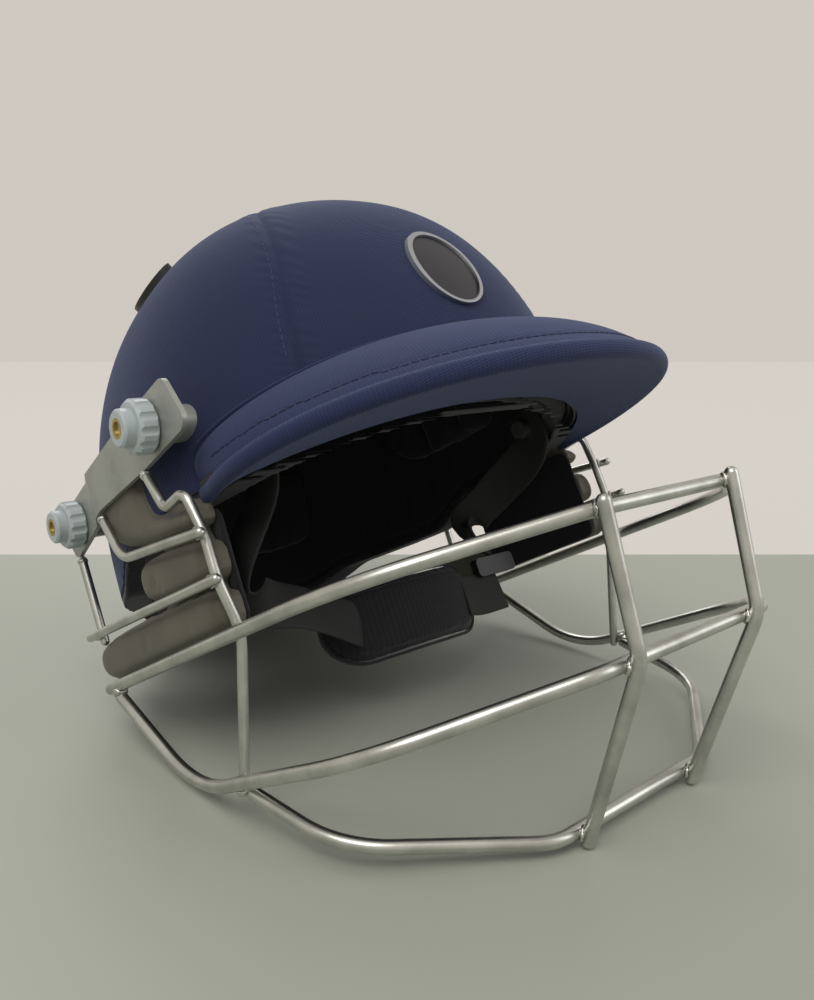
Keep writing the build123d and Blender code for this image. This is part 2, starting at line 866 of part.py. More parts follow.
def ear_pad():
    upper = cushion(upper_pad_length, upper_pad_low_z, upper_pad_high_z, upper_pad_slant,
                    ear_pad_face, plate_front_half - plate_thickness, upper_pad_corner)
    middle = cushion(middle_pad_length, middle_pad_low_z, middle_pad_high_z, middle_pad_slant,
                     ear_pad_face, ear_pad_crown, ear_pad_corner)
    lower = cushion(lower_pad_length, lower_pad_low_z, lower_pad_high_z, lower_pad_slant,
                    ear_pad_face, ear_pad_crown, ear_pad_corner)
    web = Pos(web_set_back, 0) * web_outline(middle_pad_length - web_set_back, lower_pad_low_z, web_top())
    tail_length = lower_pad_length - web_set_back - pad_round
    tail = Pos(web_set_back, 0) * web_outline(tail_length, lower_pad_low_z + pad_draw_in, lower_pad_high_z)
    back = across(web, ear_pad_web, ear_pad_face + pad_draw_in)
    back += across(tail, ear_pad_web, ear_pad_face + pad_draw_in)
    pad = back + upper + middle + lower
    pad -= rod_across(front_stud_y, front_stud_z, spacer_diameter / 2 + hole_clearance, 0,
                      plate_front_half)
    pad -= dome(-pad_gap) & above_rim(-pad_gap)
    pad -= over_peak
    path, wire = wires["side_wire"]
    return pad - bar(path, wire + 2 * wire_relief)


def ear_pad_lining():
    outline = web_outline(lining_rear_y - ear_pad_front_y, lower_pad_low_z, web_top())
    return across(outline, ear_pad_web - ear_lining_thickness, ear_pad_web)


# Chin strap
def strip(places, faces, width):
    """Flat webbing through places, turned so that its face looks along each given direction."""
    points = [Vector(*place) for place in places]
    sections = []
    for number, point in enumerate(points):
        ahead = points[min(number + 1, len(points) - 1)]
        behind = points[max(number - 1, 0)]
        tangent = (ahead - behind).normalized()
        face = Vector(*faces[number])
        face = (face - tangent * face.dot(tangent)).normalized()
        plane = Plane(origin=point, x_dir=tangent.cross(face), z_dir=tangent)
        sections.append((plane * Rectangle(width, strap_thickness)).wire())
    return Solid.make_loft(sections)


def pin_bore(strap):
    """A strap with the hole for the eyelet that lines its pin, clear of the pin's head and boss."""
    strap -= rod_across(strap_pin_y, strap_pin_z, eyelet_diameter / 2, 0, shell_half_width)
    clear = strap_pin_head / 2 + fit_clearance
    inside = strap_tab_half - strap_thickness / 2
    outside = strap_tab_half + strap_thickness / 2
    strap -= rod_across(strap_pin_y, strap_pin_z, clear, 0, inside)
    return strap - rod_across(strap_pin_y, strap_pin_z, clear, outside, shell_half_width)


def cup_end():
    return (cup_half_length - cup_grip, cup_y - cup_bow / 2, cup_z)


def strap_right():
    """Webbing of one side, drawn on the left: pin, cheek, and across to the chin cup."""
    places = [
        (strap_tab_half, strap_pin_y, strap_pin_z + strap_tab_rise),
        (strap_tab_half, strap_pin_y, strap_pin_z - strap_tab_rise),
        (strap_cheek_half, strap_cheek_y, strap_cheek_z),
        (strap_turn_half, strap_turn_y, strap_turn_z),
        cup_end(),
    ]
    faces = [side_face_share, side_face_share, side_face_share, turn_face_share, chin_face_share]
    strap = pin_bore(strip(places, faces, strap_width))
    return mirrored(strap) - chin_cup()


def strap_left_upper():
    """Webbing from the left pin down to the slider."""
    places = [
        (strap_tab_half, strap_pin_y, strap_pin_z + strap_tab_rise),
        (strap_tab_half, strap_pin_y, strap_pin_z - strap_tab_rise),
        (strap_bend_half, strap_bend_y, strap_bend_z),
        (strap_rise_half, strap_rise_y, strap_rise_z),
        (slider_half, slider_y, slider_z + slider_length / 2),
    ]
    faces = [side_face_share, side_face_share, rise_face_share, rise_face_share, turn_face_share]
    return pin_bore(strip(places, faces, strap_width)) - strap_slider_block()


def strap_left_lower():
    """Webbing doubled back through the slider beside the cup."""
    places = [
        cup_end(),
        (strap_band_half - strap_width / 2, strap_band_y, strap_band_z),
        (strap_band_half + strap_width / 4, strap_band_y, strap_band_z),
    ]
    faces = [chin_face_share, chin_face_share, band_face_share]
    return strip(places, faces, strap_width) - chin_cup() - strap_slider_block()


def strap_slider_block():
    block = extrude(RectangleRounded(slider_width, slider_length, slider_thickness / 2), slider_thickness)
    plane = Plane(origin=(slider_half, slider_y - slider_thickness / 2, slider_z),
                  x_dir=(1, 0, 0), z_dir=(0, 1, 0))
    return plane * block


def cup_bowed(inset, start, end):
    """Slot shaped slab in front view, bowed forwards in the middle of the chin."""
    outline = SlotOverall(2 * (cup_half_length - inset), cup_height - 2 * inset)
    plane = Plane(origin=(0, cup_y - 2 * overrun, cup_z), x_dir=(1, 0, 0), z_dir=(0, 1, 0))
    prism = extrude(plane * outline, 4 * overrun)
    radius = (cup_half_length**2 + cup_bow**2) / (2 * cup_bow)
    low = cup_z - cup_height
    centre = Pos(0, cup_y + radius - cup_bow, low)
    outside = centre * extrude(Circle(radius + start), 2 * cup_height)
    inside = centre * extrude(Circle(radius + end), 2 * cup_height)
    return prism & (outside - inside)


def chin_cup():
    """Padded cup: a full middle layer between two smaller ones, so that its edge is stepped in."""
    third = cup_thickness / 3
    body = cup_bowed(0, -third, -2 * third)
    return body + cup_bowed(cup_round, 0, -third) + cup_bowed(cup_round, -2 * third, -3 * third)


def chin_cup_binding():
    third = cup_thickness / 3
    return cup_bowed(-cup_binding, -third, -2 * third) - cup_bowed(0, -third, -2 * third)


def eyelet():
    start = strap_tab_half - strap_thickness / 2 - eyelet_proud
    end = strap_tab_half + strap_thickness / 2 + eyelet_proud
    ring = rod_across(strap_pin_y, strap_pin_z, eyelet_diameter / 2, start, end)
    return ring - rod_across(strap_pin_y, strap_pin_z, strap_pin_diameter / 2 + bore_clearance, start, end)


def strap_pin():
    """Headed pin with a boss that stands on the liner."""
    start = strap_tab_half - strap_thickness / 2 - eyelet_proud - fit_clearance
    end = strap_tab_half + strap_thickness / 2 + eyelet_proud + fit_clearance
    head = rod_across(strap_pin_y, strap_pin_z, strap_pin_head / 2, start - strap_pin_head_thickness, start)
    boss = rod_across(strap_pin_y, strap_pin_z, strap_pin_head / 2, end, shell_half_width)
    boss = boss & dome(liner_depth + layer_gap)
    return head + rod_across(strap_pin_y, strap_pin_z, strap_pin_diameter / 2, start, end) + boss


# Welded guard
wires = {
    "top_bar": (top_bar_path(), main_wire),
    "middle_bar": (middle_bar_path(), main_wire),
    "bottom_bar": (bottom_bar_path(), main_wire),
    "vertical_bar": (vertical_bar_path(), main_wire),
    "side_wire": (side_wire_path(), side_wire),
    "ear_bar_upper": (upper_ear_bar_path(), side_wire),
    "ear_bar_lower": (lower_ear_bar_path(), side_wire),
    "rear_wire": (rear_wire_path(), side_wire),
}
across_face = ("top_bar", "middle_bar", "bottom_bar")

# Each wire here rests on the ones named after it, and is notched by them where they are welded
seats = {
    "middle_bar": ("top_bar",),
    "bottom_bar": ("middle_bar",),
    "vertical_bar": ("top_bar", "middle_bar", "bottom_bar"),
    "side_wire": ("top_bar", "middle_bar"),
    "ear_bar_upper": ("side_wire",),
    "ear_bar_lower": ("side_wire",),
    "rear_wire": ("ear_bar_lower",),
}
on_plate = ("side_wire", "ear_bar_upper", "rear_wire")
shared_weld = (("bottom_bar", "middle_bar"), ("side_wire", "middle_bar"))


def weld_ball(name, seat):
    """Ball of weld metal at the place where two wires touch."""
    path, wire = wires[name]
    seat_path, seat_wire = wires[seat]
    place = weld_place(path, seat_path, wire, seat_wire)
    if seat in across_face and place.X < 0:
        place = Vector(-place.X, place.Y, place.Z)
    return Pos(*place) * weld_turn * Sphere(min(wire, seat_wire) / 2 + bead_swell)


def weld_bead(*pairs):
    """Fillet of weld metal round one such place, or round two that lie side by side."""
    metal = weld_ball(*pairs[0])
    for pair in pairs[1:]:
        metal += weld_ball(*pair)
    for name in dict.fromkeys(name for pair in pairs for name in pair):
        metal -= raw[name]
    return metal


def plate_bead(name):
    path, wire = wires[name]
    ends = [path @ share for share in (0, 1)]
    top = max(ends, key=lambda point: point.Z)
    return Pos(*top) * Sphere(wire / 2 + plate_bead_swell) - raw[name] - plate


raw = {name: bar(path, wire) for name, (path, wire) in wires.items()}
plate = side_plate()
nodes = {}
for name in wires:
    shape = raw[name]
    for seat in seats.get(name, ()):
        shape = shape - raw[seat]
    if name in on_plate:
        shape = shape - plate
    if name in across_face:
        nodes[name] = shape
    else:
        nodes[name + "_left"] = shape
        nodes[name + "_right"] = mirrored(shape)

welds = [((name, seat),) for name in seats for seat in seats[name] if (name, seat) not in shared_weld]
beads = [weld_bead(*pairs) for pairs in welds + [shared_weld]]
beads += [plate_bead(name) for name in on_plate]
nodes["weld_beads"] = one_of([side for bead in beads for side in both_sides(bead)])
nodes["side_plate_left"] = plate
nodes["side_plate_right"] = mirrored(plate)

# Shell, its covering and its padding
nodes["outer_shell"] = outer_shell()
nodes["cover_front_panel"], nodes["cover_rear_panel"] = cover_panels()
nodes["peak_cover"] = peak_cover()
nodes["peak_welt"] = peak_welt()
nodes["rim_binding"] = rim_binding()
nodes["foam_liner"] = foam_liner()
nodes["sweatband"] = sweatband()
nodes["crown_pad"] = crown_pad()
nodes["rear_pad"] = rear_pad()
nodes["badge_plate"] = badge_plate()
nodes["side_studs"] = side_studs()
nodes["stud_spacers"] = stud_spacers()
nodes["strap_pins"] = one_of(both_sides(strap_pin()))
paired = {
    "side_pad": side_pad(),
    "vent_cover": vent_cover(),
    "ear_pad": ear_pad(),
    "ear_pad_lining": ear_pad_lining(),
    "thumb_nut_front": thumb_nut(*stud_places()[0]),
    "thumb_nut_rear": thumb_nut(*stud_places()[1]),
    "nut_insert_front": nut_insert(*stud_places()[0]),
    "nut_insert_rear": nut_insert(*stud_places()[1]),
}
for name, shape in paired.items():
    nodes[name + "_left"] = shape
    nodes[name + "_right"] = mirrored(shape)

# Chin strap
nodes["strap_right"] = strap_right()
nodes["strap_left_upper"] = strap_left_upper()
nodes["strap_left_lower"] = strap_left_lower() - nodes["strap_left_upper"]
nodes["strap_slider"] = strap_slider_block()
nodes["chin_cup"] = chin_cup()
nodes["chin_cup_binding"] = chin_cup_binding() - nodes["strap_right"] - nodes["strap_left_lower"]
nodes["strap_eyelets"] = one_of(both_sides(eyelet()))


# Pose on a table: tipped back until the guard's tips and the nape of the rim are level
def rest_tilt():
    """Tilt in degrees that brings the nape of the rim level with the rounded lower tips."""
    nape_z = rim_dip_z
    nape_y = waist_y + shell_rear_reach * spread_at(nape_z)
    rise = nape_z - vertical_tip_z
    run = nape_y - vertical_tip_y
    span = math.hypot(run, rise)
    angle = math.degrees(math.atan2(rise, run) + math.asin(main_wire / 2 / span))
    for _ in range(2):
        tip_floor = (Rot(X=-angle) * nodes["vertical_bar_left"]).bounding_box().min.Z
        nape_floor = (Rot(X=-angle) * nodes["rim_binding"]).bounding_box().min.Z
        angle += math.degrees((nape_floor - tip_floor) / run)
    return angle


tilt = rest_tilt()
tipped = {name: Rot(X=-tilt) * shape for name, shape in nodes.items()}
boxes = [shape.bounding_box() for shape in tipped.values()]
low_y = min(box.min.Y for box in boxes)
high_y = max(box.max.Y for box in boxes)
floor = min(box.min.Z for box in boxes)
high_z = max(box.max.Z for box in boxes)
for name, shape in tipped.items():
    export_step(Pos(0, -(low_y + high_y) / 2, -floor) * shape, "parts/" + name + ".step")

print("tilt", round(tilt, 3), "shift", round(-(low_y + high_y) / 2, 3), round(-floor, 3))
print("size", round(high_y - low_y, 1), "long and", round(high_z - floor, 1), "high")
for name in ("vertical_bar_left", "rim_binding"):
    print(name, "lowest point", round(tipped[name].bounding_box().min.Z - floor, 3))
for name, (path, wire) in wires.items():
    print(name, "centre line", round(path.length, 1), "diameter", wire)
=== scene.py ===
# Looks of a cricket helmet: cloth shell and peak, welded steel guard, foam ear pads, chin strap.
# Run as a script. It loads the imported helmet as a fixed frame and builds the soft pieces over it.
import math

import bmesh
import bpy
import numpy as np
from bpy.props import FloatProperty, FloatVectorProperty, IntProperty, PointerProperty
from mathutils import Matrix, Vector, noise


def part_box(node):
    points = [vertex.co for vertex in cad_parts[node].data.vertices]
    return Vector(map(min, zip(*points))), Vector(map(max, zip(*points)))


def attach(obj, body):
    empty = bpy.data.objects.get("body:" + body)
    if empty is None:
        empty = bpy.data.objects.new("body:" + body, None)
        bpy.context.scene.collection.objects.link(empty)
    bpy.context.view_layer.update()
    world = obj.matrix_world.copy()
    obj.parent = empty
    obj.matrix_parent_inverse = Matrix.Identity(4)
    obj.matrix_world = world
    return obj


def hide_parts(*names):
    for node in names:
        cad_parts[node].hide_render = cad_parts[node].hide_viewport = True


bl_info = {
    "name": "Cricket helmet looks",
    "version": (1, 0, 0),
    "blender": (4, 5, 0),
    "location": "3D View > Sidebar > Helmet",
    "description": "Cloth, foam, webbing and metal finishes of a cricket helmet with a steel guard",
    "category": "Object",
}

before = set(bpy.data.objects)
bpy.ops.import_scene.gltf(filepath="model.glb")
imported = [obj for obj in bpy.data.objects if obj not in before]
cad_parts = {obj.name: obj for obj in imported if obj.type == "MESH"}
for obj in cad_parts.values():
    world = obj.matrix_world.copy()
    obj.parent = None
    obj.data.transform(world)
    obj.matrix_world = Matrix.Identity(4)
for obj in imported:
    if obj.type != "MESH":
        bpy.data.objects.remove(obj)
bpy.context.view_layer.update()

HELMET = "helmet"
STRAP = "chin_strap"
SIDES = ("left", "right")

# The helmet as it is worn, in millimetres, and the move that stands it on the table
TILT = math.radians(27.356)
SHIFT_Y = -140.697
SHIFT_Z = 1.686
HALF_WIDTH = 105.8
FRONT_REACH = 102.2
REAR_REACH = 143.0
RISE = 145.1
WAIST_Y = 97.7
WAIST_Z = 137.7
SKIRT_DROP = 32.0
SKIRT_TUCK = 2.0
PLAN_POWER = 2.15
PROFILE_POWER = 2.6
RIM_LINE = ((-90, 157), (0, 157), (60, 151.5), (127, 149.5), (150, 136.5), (205, 136), (232, 122.5),
            (300, 122.5))
SEAM_LINE = ((150, 21), (185, 21), (200, 22.5), (215, 24.3), (229, 27), (246, 34.5), (262, 46), (277, 66),
             (300, 66))
RIM_ROUNDING = (-7, -4, -1.5, 1.5, 4, 7)
SEAM_ROUNDING = (-6, -3, 0, 3, 6)

# The peak: its core in the frame, and the longer cloth edge round it
PEAK_REACH = 38.0
PEAK_END_REACH = 2.6
PEAK_END = math.radians(69)
PEAK_FLOOR = 152.5
PEAK_FLOOR_LIFT = 5.0
PEAK_ROOT = 169.0
PEAK_ROOT_LIFT = 19.0
PEAK_ROOT_POWER = 0.6
PEAK_NOSE = 3.5
PEAK_CLEARANCE = 0.3
PEAK_CLOTH_REACH = 50.2
PEAK_CLOTH_SWEEP = math.radians(69.65)
PEAK_CLOTH_POWER = 0.88
PEAK_EDGE_Z = (149.7, 13.2, -10.0)
PEAK_EDGE_DROP = 2.0
PEAK_STATIONS = 150

# The stage, with the camera where the photo was taken from
CAMERA_PLACE = (-255.65, -224.7, 77.8)
CAMERA_TURN = math.radians(41.44)
CAMERA_DIP = math.radians(11.64)
CAMERA_LENS = 900 / 814
FLOOR_LINE = 0.248
FLOOR_REACH = 3.0
FLOOR_GAP = 0.0002
TABLE_TONE = (0.40, 0.41, 0.34, 1)
SHEET_TONE = (0.62, 0.58, 0.53, 1)
STUDIO_TONE = (0.45, 0.46, 0.48, 1)
# Name, place, size, power and colour of each light
LIGHTS = (("key_light", (-0.9, -0.55, 1.5), 1.1, 15.0, (1.0, 0.985, 0.95)),
          ("fill_light", (1.2, -1.3, 0.9), 1.2, 7.0, (0.95, 0.97, 1.0)),
          ("rim_light", (0.5, 1.3, 1.2), 0.9, 7.0, (1.0, 1.0, 1.0)))


def stood(points):
    """Places in worn millimetres as an array of places on the table, in metres."""
    p = np.atleast_2d(np.asarray(points, float))
    cos, sin = math.cos(TILT), math.sin(TILT)
    y = p[:, 1] * cos + p[:, 2] * sin + SHIFT_Y
    z = -p[:, 1] * sin + p[:, 2] * cos + SHIFT_Z
    return np.stack([p[:, 0], y, z], 1) / 1000


def worn(points):
    """Places on the table, in metres, as worn millimetres."""
    p = np.atleast_2d(np.asarray(points, float)) * 1000
    cos, sin = math.cos(TILT), math.sin(TILT)
    y, z = p[:, 1] - SHIFT_Y, p[:, 2] - SHIFT_Z
    return np.stack([p[:, 0], y * cos - z * sin, y * sin + z * cos], 1)


def spread_at(z):
    below = 1 - SKIRT_TUCK / HALF_WIDTH * (WAIST_Z - z) / SKIRT_DROP
    share = np.clip((z - WAIST_Z) / RISE, 0, 1)
    return np.where(z < WAIST_Z, below, (1 - share**PROFILE_POWER) ** (1 / PROFILE_POWER))


def plan_reach(angle):
    """Plan radius at an angle from the front."""
    side, front = np.sin(angle), np.cos(angle)
    reach = np.where(front > 0, FRONT_REACH, REAR_REACH)
    total = np.abs(side / HALF_WIDTH) ** PLAN_POWER + np.abs(front / reach) ** PLAN_POWER
    return total ** (-1 / PLAN_POWER)


def dome_radius(angle, z):
    return spread_at(np.asarray(z, float)) * plan_reach(angle)


def rim_z(y):
    """Height of the lower rim, with its corners rounded."""
    ys, zs = zip(*RIM_LINE)
    return sum(np.interp(y + step, ys, zs) for step in RIM_ROUNDING) / len(RIM_ROUNDING)


def seam_y(z):
    zs, ys = zip(*SEAM_LINE)
    return sum(np.interp(z + step, zs, ys) for step in SEAM_ROUNDING) / len(SEAM_ROUNDING)


def arc(start, middle, end, count):
    """Points along the circle through three places in a plane."""
    a, m, e = (np.array(p, float) for p in (start, middle, end))
    d = 2 * (a[0] * (m[1] - e[1]) + m[0] * (e[1] - a[1]) + e[0] * (a[1] - m[1]))
    if abs(d) < 1e-6:
        return [a + (e - a) * t for t in np.linspace(0, 1, count)]
    sa, sm, se = a @ a, m @ m, e @ e
    cx = (sa * (m[1] - e[1]) + sm * (e[1] - a[1]) + se * (a[1] - m[1])) / d
    cy = (sa * (e[0] - m[0]) + sm * (a[0] - e[0]) + se * (m[0] - a[0])) / d
    centre = np.array([cx, cy])
    radius = np.linalg.norm(a - centre)
    turns = [math.atan2(*(p - centre)[::-1]) for p in (a, m, e)]
    for k in (1, 2):
        while turns[k] - turns[k - 1] > math.pi:
            turns[k] -= 2 * math.pi
        while turns[k] - turns[k - 1] < -math.pi:
            turns[k] += 2 * math.pi
    first = np.linspace(turns[0], turns[1], count // 2 + 1)[:-1]
    second = np.linspace(turns[1], turns[2], count - count // 2)
    return [centre + radius * np.array([math.cos(t), math.sin(t)]) for t in (*first, *second)]


# Mesh helpers
def finish_named(name):
    return bpy.data.materials[name]


def dress(piece, name, body, finish, nodes=()):
    """Names a piece, gives it a finish, lets it ride on a body, and hides the nodes that it stands for."""
    piece.name = name
    piece.data.materials.clear()
    piece.data.materials.append(finish_named(finish))
    piece.data.shade_smooth()
    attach(piece, body)
    if nodes:
        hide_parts(*nodes)
    return piece


def linked(name, data):
    """A new object in the scene."""
    made = bpy.data.objects.new(name, data)
    bpy.context.scene.collection.objects.link(made)
    return made


def new_piece(name, mesh, body, finish, nodes=()):
    """Links a mesh as a dressed piece."""
    return dress(linked(name, mesh), name, body, finish, nodes)


def give(nodes, finish):
    """Lets CAD nodes take a finish."""
    for node in nodes:
        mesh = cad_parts[node].data
        mesh.materials.clear()
        mesh.materials.append(finish_named(finish))


def mesh_from(name, points, faces, uvs=None):
    mesh = bpy.data.meshes.new(name)
    mesh.from_pydata([tuple(p) for p in points], [], faces)
    if uvs is not None:
        layer = mesh.uv_layers.new(name="cloth")
        for loop in mesh.loops:
            layer.data[loop.index].uv = uvs[loop.vertex_index]
    mesh.validate()
    return mesh


def grid_faces(rows, columns, loop_rows=False, loop_columns=False):
    faces = []
    for i in range(rows if loop_rows else rows - 1):
        for j in range(columns if loop_columns else columns - 1):
            a, b = i * columns + j, i * columns + (j + 1) % columns
            c, d = ((i + 1) % rows) * columns + (j + 1) % columns, ((i + 1) % rows) * columns + j
            faces.append((a, b, c, d))
    return faces


def apply_modifiers(piece):
    """Replaces the piece's mesh by what its modifiers make of it."""
    graph = bpy.context.evaluated_depsgraph_get()
    made = bpy.data.meshes.new_from_object(piece.evaluated_get(graph), preserve_all_data_layers=True,
                                           depsgraph=graph)
    piece.modifiers.clear()
    old = piece.data
    piece.data = made
    bpy.data.meshes.remove(old)
    made.shade_smooth()
    return piece


def coords(mesh):
    values = np.empty(len(mesh.vertices) * 3)
    mesh.vertices.foreach_get("co", values)
    return values.reshape(-1, 3)


def normals(mesh):
    return np.array([v.normal for v in mesh.vertices], float).reshape(-1, 3)


def falloff(distance, width):
    """One at no distance, running smoothly down to nothing past a width or two."""
    return np.exp(-((distance / width) ** 2))


def set_coords(mesh, values):
    mesh.vertices.foreach_set("co", np.asarray(values, np.float64).ravel())
    mesh.update()


def trim(bm, level):
    """Cuts a mesh along the zero line of a value, and keeps the side where it is positive."""
    values = {v: level(v.co) for v in bm.verts}
    for v in values:
        if abs(values[v]) < 1e-4:
            values[v] = 1e-4
    fresh = []
    for edge in [e for e in bm.edges if values[e.verts[0]] * values[e.verts[1]] < 0]:
        a, b = edge.verts
        share = values[a] / (values[a] - values[b])
        _, v = bmesh.utils.edge_split(edge, a, share)
        values[v] = 0.0
        fresh.append(v)
    bmesh.ops.connect_verts(bm, verts=fresh)
    bmesh.ops.delete(bm, geom=[v for v in bm.verts if values[v] < 0], context="VERTS")


def tube_mesh(name, lines, radius, sides=8, closed=False):
    """Round tubes along lines of places, with rounded ends, in one mesh."""
    points, faces = [], []
    turns = [2 * math.pi * n / sides for n in range(sides)]
    for line in lines:
        line = [Vector(p) for p in line]
        count = len(line)
        rings = []
        side = None
        for k, p in enumerate(line):
            ahead = line[(k + 1) % count] if closed or k + 1 < count else p
            behind = line[k - 1] if closed or k > 0 else p
            tangent = (ahead - behind).normalized()
            if side is None:
                side = tangent.orthogonal().normalized()
            side = (side - tangent * side.dot(tangent)).normalized()
            up = tangent.cross(side)
            ends = [(0.0, 1.0)]
            if not closed and k == 0:
                ends = [(-0.95, 0.3), (-0.6, 0.8), (0.0, 1.0)]
            if not closed and k == count - 1:
                ends = [(0.0, 1.0), (0.6, 0.8), (0.95, 0.3)]
            for along, wide in ends:
                middle, reach = p + tangent * along * radius, wide * radius
                rings.append([middle + (side * math.cos(t) + up * math.sin(t)) * reach for t in turns])
        base = len(points)
        points += [q for ring in rings for q in ring]
        faces += [tuple(base + i for i in f) for f in grid_faces(len(rings), sides, closed, True)]
        if not closed:
            faces.append(tuple(base + n for n in reversed(range(sides))))
            faces.append(tuple(base + (len(rings) - 1) * sides + n for n in range(sides)))
    return mesh_from(name, points, faces)


def run_along(path):
    """Distance along a path at each of its places."""
    return np.concatenate([[0], np.cumsum(np.linalg.norm(np.diff(path, axis=0), axis=1))])


def stitch_lines(path, step, length):
    """Short runs of thread along a path, one every step."""
    along = run_along(path)
    lines = []
    for start in np.arange(step / 2, along[-1] - length, step):
        spots = np.linspace(start, start + length, 4)
        lines.append(np.stack([np.interp(spots, along, path[:, k]) for k in range(3)], 1))
    return lines


def evened(piece, voxel, smooth):
    """Gives a piece even faces and softened edges."""
    mod = piece.modifiers.new("even", "REMESH")
    mod.mode = "VOXEL"
    mod.voxel_size = voxel
    mod = piece.modifiers.new("soften", "SMOOTH")
    mod.factor = 0.5
    mod.iterations = smooth
    return apply_modifiers(piece)


def remeshed(node, voxel, smooth):
    """A copy of a node's mesh with even faces and softened edges."""
    return evened(linked(node + "_soft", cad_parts[node].data.copy()), voxel, smooth)


def swollen(piece, cap, pressure=4.0, frames=20):
    """Fills a closed pad by cloth simulation, moving no point further than cap."""
    rest = coords(piece.data)
    scene = bpy.context.scene
    cloth = piece.modifiers.new("fill", "CLOTH")
    cloth.settings.use_pressure = True
    cloth.settings.uniform_pressure_force = pressure
    cloth.settings.effector_weights.gravity = 0
    cloth.settings.quality = 5
    cloth.point_cache.frame_start = 1
    cloth.point_cache.frame_end = frames
    for number in range(1, frames + 1):
        scene.frame_set(number)
    graph = bpy.context.evaluated_depsgraph_get()
    shaped = piece.evaluated_get(graph).to_mesh()
    moved = coords(shaped)
    piece.evaluated_get(graph).to_mesh_clear()
    piece.modifiers.clear()
    scene.frame_set(1)
    shift = moved - rest
    size = np.linalg.norm(shift, axis=1, keepdims=True)
    shift *= np.minimum(1, cap / np.maximum(size, 1e-9))
    set_coords(piece.data, rest + shift)


def soft_piece(node, name, body, finish, voxel, smooth, cap=0.0):
    """A pad that stands for a node: even mesh, softened, then filled and made finer where it has a cap."""
    piece = remeshed(node, voxel, smooth)
    if cap:
        swollen(piece, cap)
        mod = piece.modifiers.new("finer", "SUBSURF")
        mod.render_levels = 1
        mod.levels = 1
        apply_modifiers(piece)
    dress(piece, name, body, finish, (node,))
    return piece


# Materials: how far the threads stray in metres, the ribs' share of the relief, and rates per metre
THREAD_WOBBLE = 0.0012
RIB_SHARE = 0.65
PORES = 900.0
PATCHES = 22.0
SCRATCHES = 1500.0


def make_group(name, inputs):
    """Effect that takes a place and the named inputs, and gives colour, roughness and height."""
    group = bpy.data.node_groups.new(name, "ShaderNodeTree")
    new_socket = group.interface.new_socket
    new_socket("Vector", in_out="INPUT", socket_type="NodeSocketVector")
    for label, value in inputs.items():
        kind = "NodeSocketColor" if isinstance(value, tuple) else "NodeSocketFloat"
        new_socket(label, in_out="INPUT", socket_type=kind).default_value = value
    for label, kind in (("Color", "Color"), ("Roughness", "Float"), ("Height", "Float")):
        new_socket(label, in_out="OUTPUT", socket_type="NodeSocket" + kind)
    return group, group.nodes.new("NodeGroupInput").outputs, group.nodes.new("NodeGroupOutput").inputs


def give_out(group, out, colour, rough, height):
    for label, value in (("Color", colour), ("Roughness", rough), ("Height", height)):
        group.links.new(value, out[label])
    return group


def math_node(tree, operation, first, second=None, clamp=False):
    node = tree.nodes.new("ShaderNodeMath")
    node.operation = operation
    node.use_clamp = clamp
    for socket, value in zip(node.inputs, (first, second)):
        if value is None:
            continue
        if isinstance(value, (int, float)):
            socket.default_value = value
        else:
            tree.links.new(value, socket)
    return node.outputs[0]


def scaled(tree, value, gain, start, clamp=False):
    """A value times a gain, added to a start."""
    return math_node(tree, "ADD", math_node(tree, "MULTIPLY", value, gain), start, clamp)


def past(tree, value, level, gain, clamp=False):
    """How far a value is past a level, times a gain."""
    return math_node(tree, "MULTIPLY", math_node(tree, "SUBTRACT", value, level), gain, clamp)


def rough_between(tree, given, share):
    """Roughness that runs from the first to the second of the two that are given."""
    span = math_node(tree, "SUBTRACT", given["Roughness to"], given["Roughness from"])
    return scaled(tree, span, share, given["Roughness from"])


def mix_colour(tree, share, low, high):
    node = tree.nodes.new("ShaderNodeMix")
    node.data_type = "RGBA"
    for socket, value in ((node.inputs[0], share), (node.inputs[6], low), (node.inputs[7], high)):
        if isinstance(value, (int, float, tuple)):
            socket.default_value = value
        else:
            tree.links.new(value, socket)
    return node.outputs[2]


def noise_node(tree, vector, scale, detail=3.0, rough=0.55):
    node = tree.nodes.new("ShaderNodeTexNoise")
    node.inputs["Detail"].default_value = detail
    node.inputs["Roughness"].default_value = rough
    tree.links.new(vector, node.inputs["Vector"])
    if isinstance(scale, (int, float)):
        node.inputs["Scale"].default_value = scale
    else:
        tree.links.new(scale, node.inputs["Scale"])
    return node.outputs["Fac"]


def weave_group():
    """Ribbed cloth: fine ribs along one direction, crossed by weft threads, with painted shade down between
    the threads and uneven dye.
    """
    group, given, out = make_group("ribbed_weave", {
        "Thread": (0.02, 0.02, 0.05, 1), "Shade": (0.01, 0.01, 0.02, 1), "Ribs per metre": 700.0,
        "Wefts per metre": 1100.0, "Unevenness": 0.4})
    place = given["Vector"]
    split = group.nodes.new("ShaderNodeSeparateXYZ")
    group.links.new(place, split.inputs[0])
    wobble = math_node(group, "MULTIPLY", noise_node(group, place, 60.0), THREAD_WOBBLE)
    threads = []
    for axis, rate in ((0, "Ribs per metre"), (1, "Wefts per metre")):
        along = math_node(group, "ADD", split.outputs[axis], wobble)
        turn = math_node(group, "MULTIPLY", along, given[rate])
        wave = math_node(group, "SINE", math_node(group, "MULTIPLY", turn, 2 * math.pi))
        threads.append(scaled(group, wave, 0.5, 0.5))
    height = scaled(group, threads[0], RIB_SHARE, math_node(group, "MULTIPLY", threads[1], 1 - RIB_SHARE))
    blotch = noise_node(group, place, 28.0, 4.0)
    # Painted shade: the colour runs to the Shade colour where the threads lie low, with uneven dye mixed in
    # at random.
    share = scaled(group, height, 0.75, past(group, blotch, 0.5, given["Unevenness"]), True)
    colour = mix_colour(group, share, given["Shade"], given["Thread"])
    return give_out(group, out, colour, scaled(group, blotch, 0.2, 0.68), height)


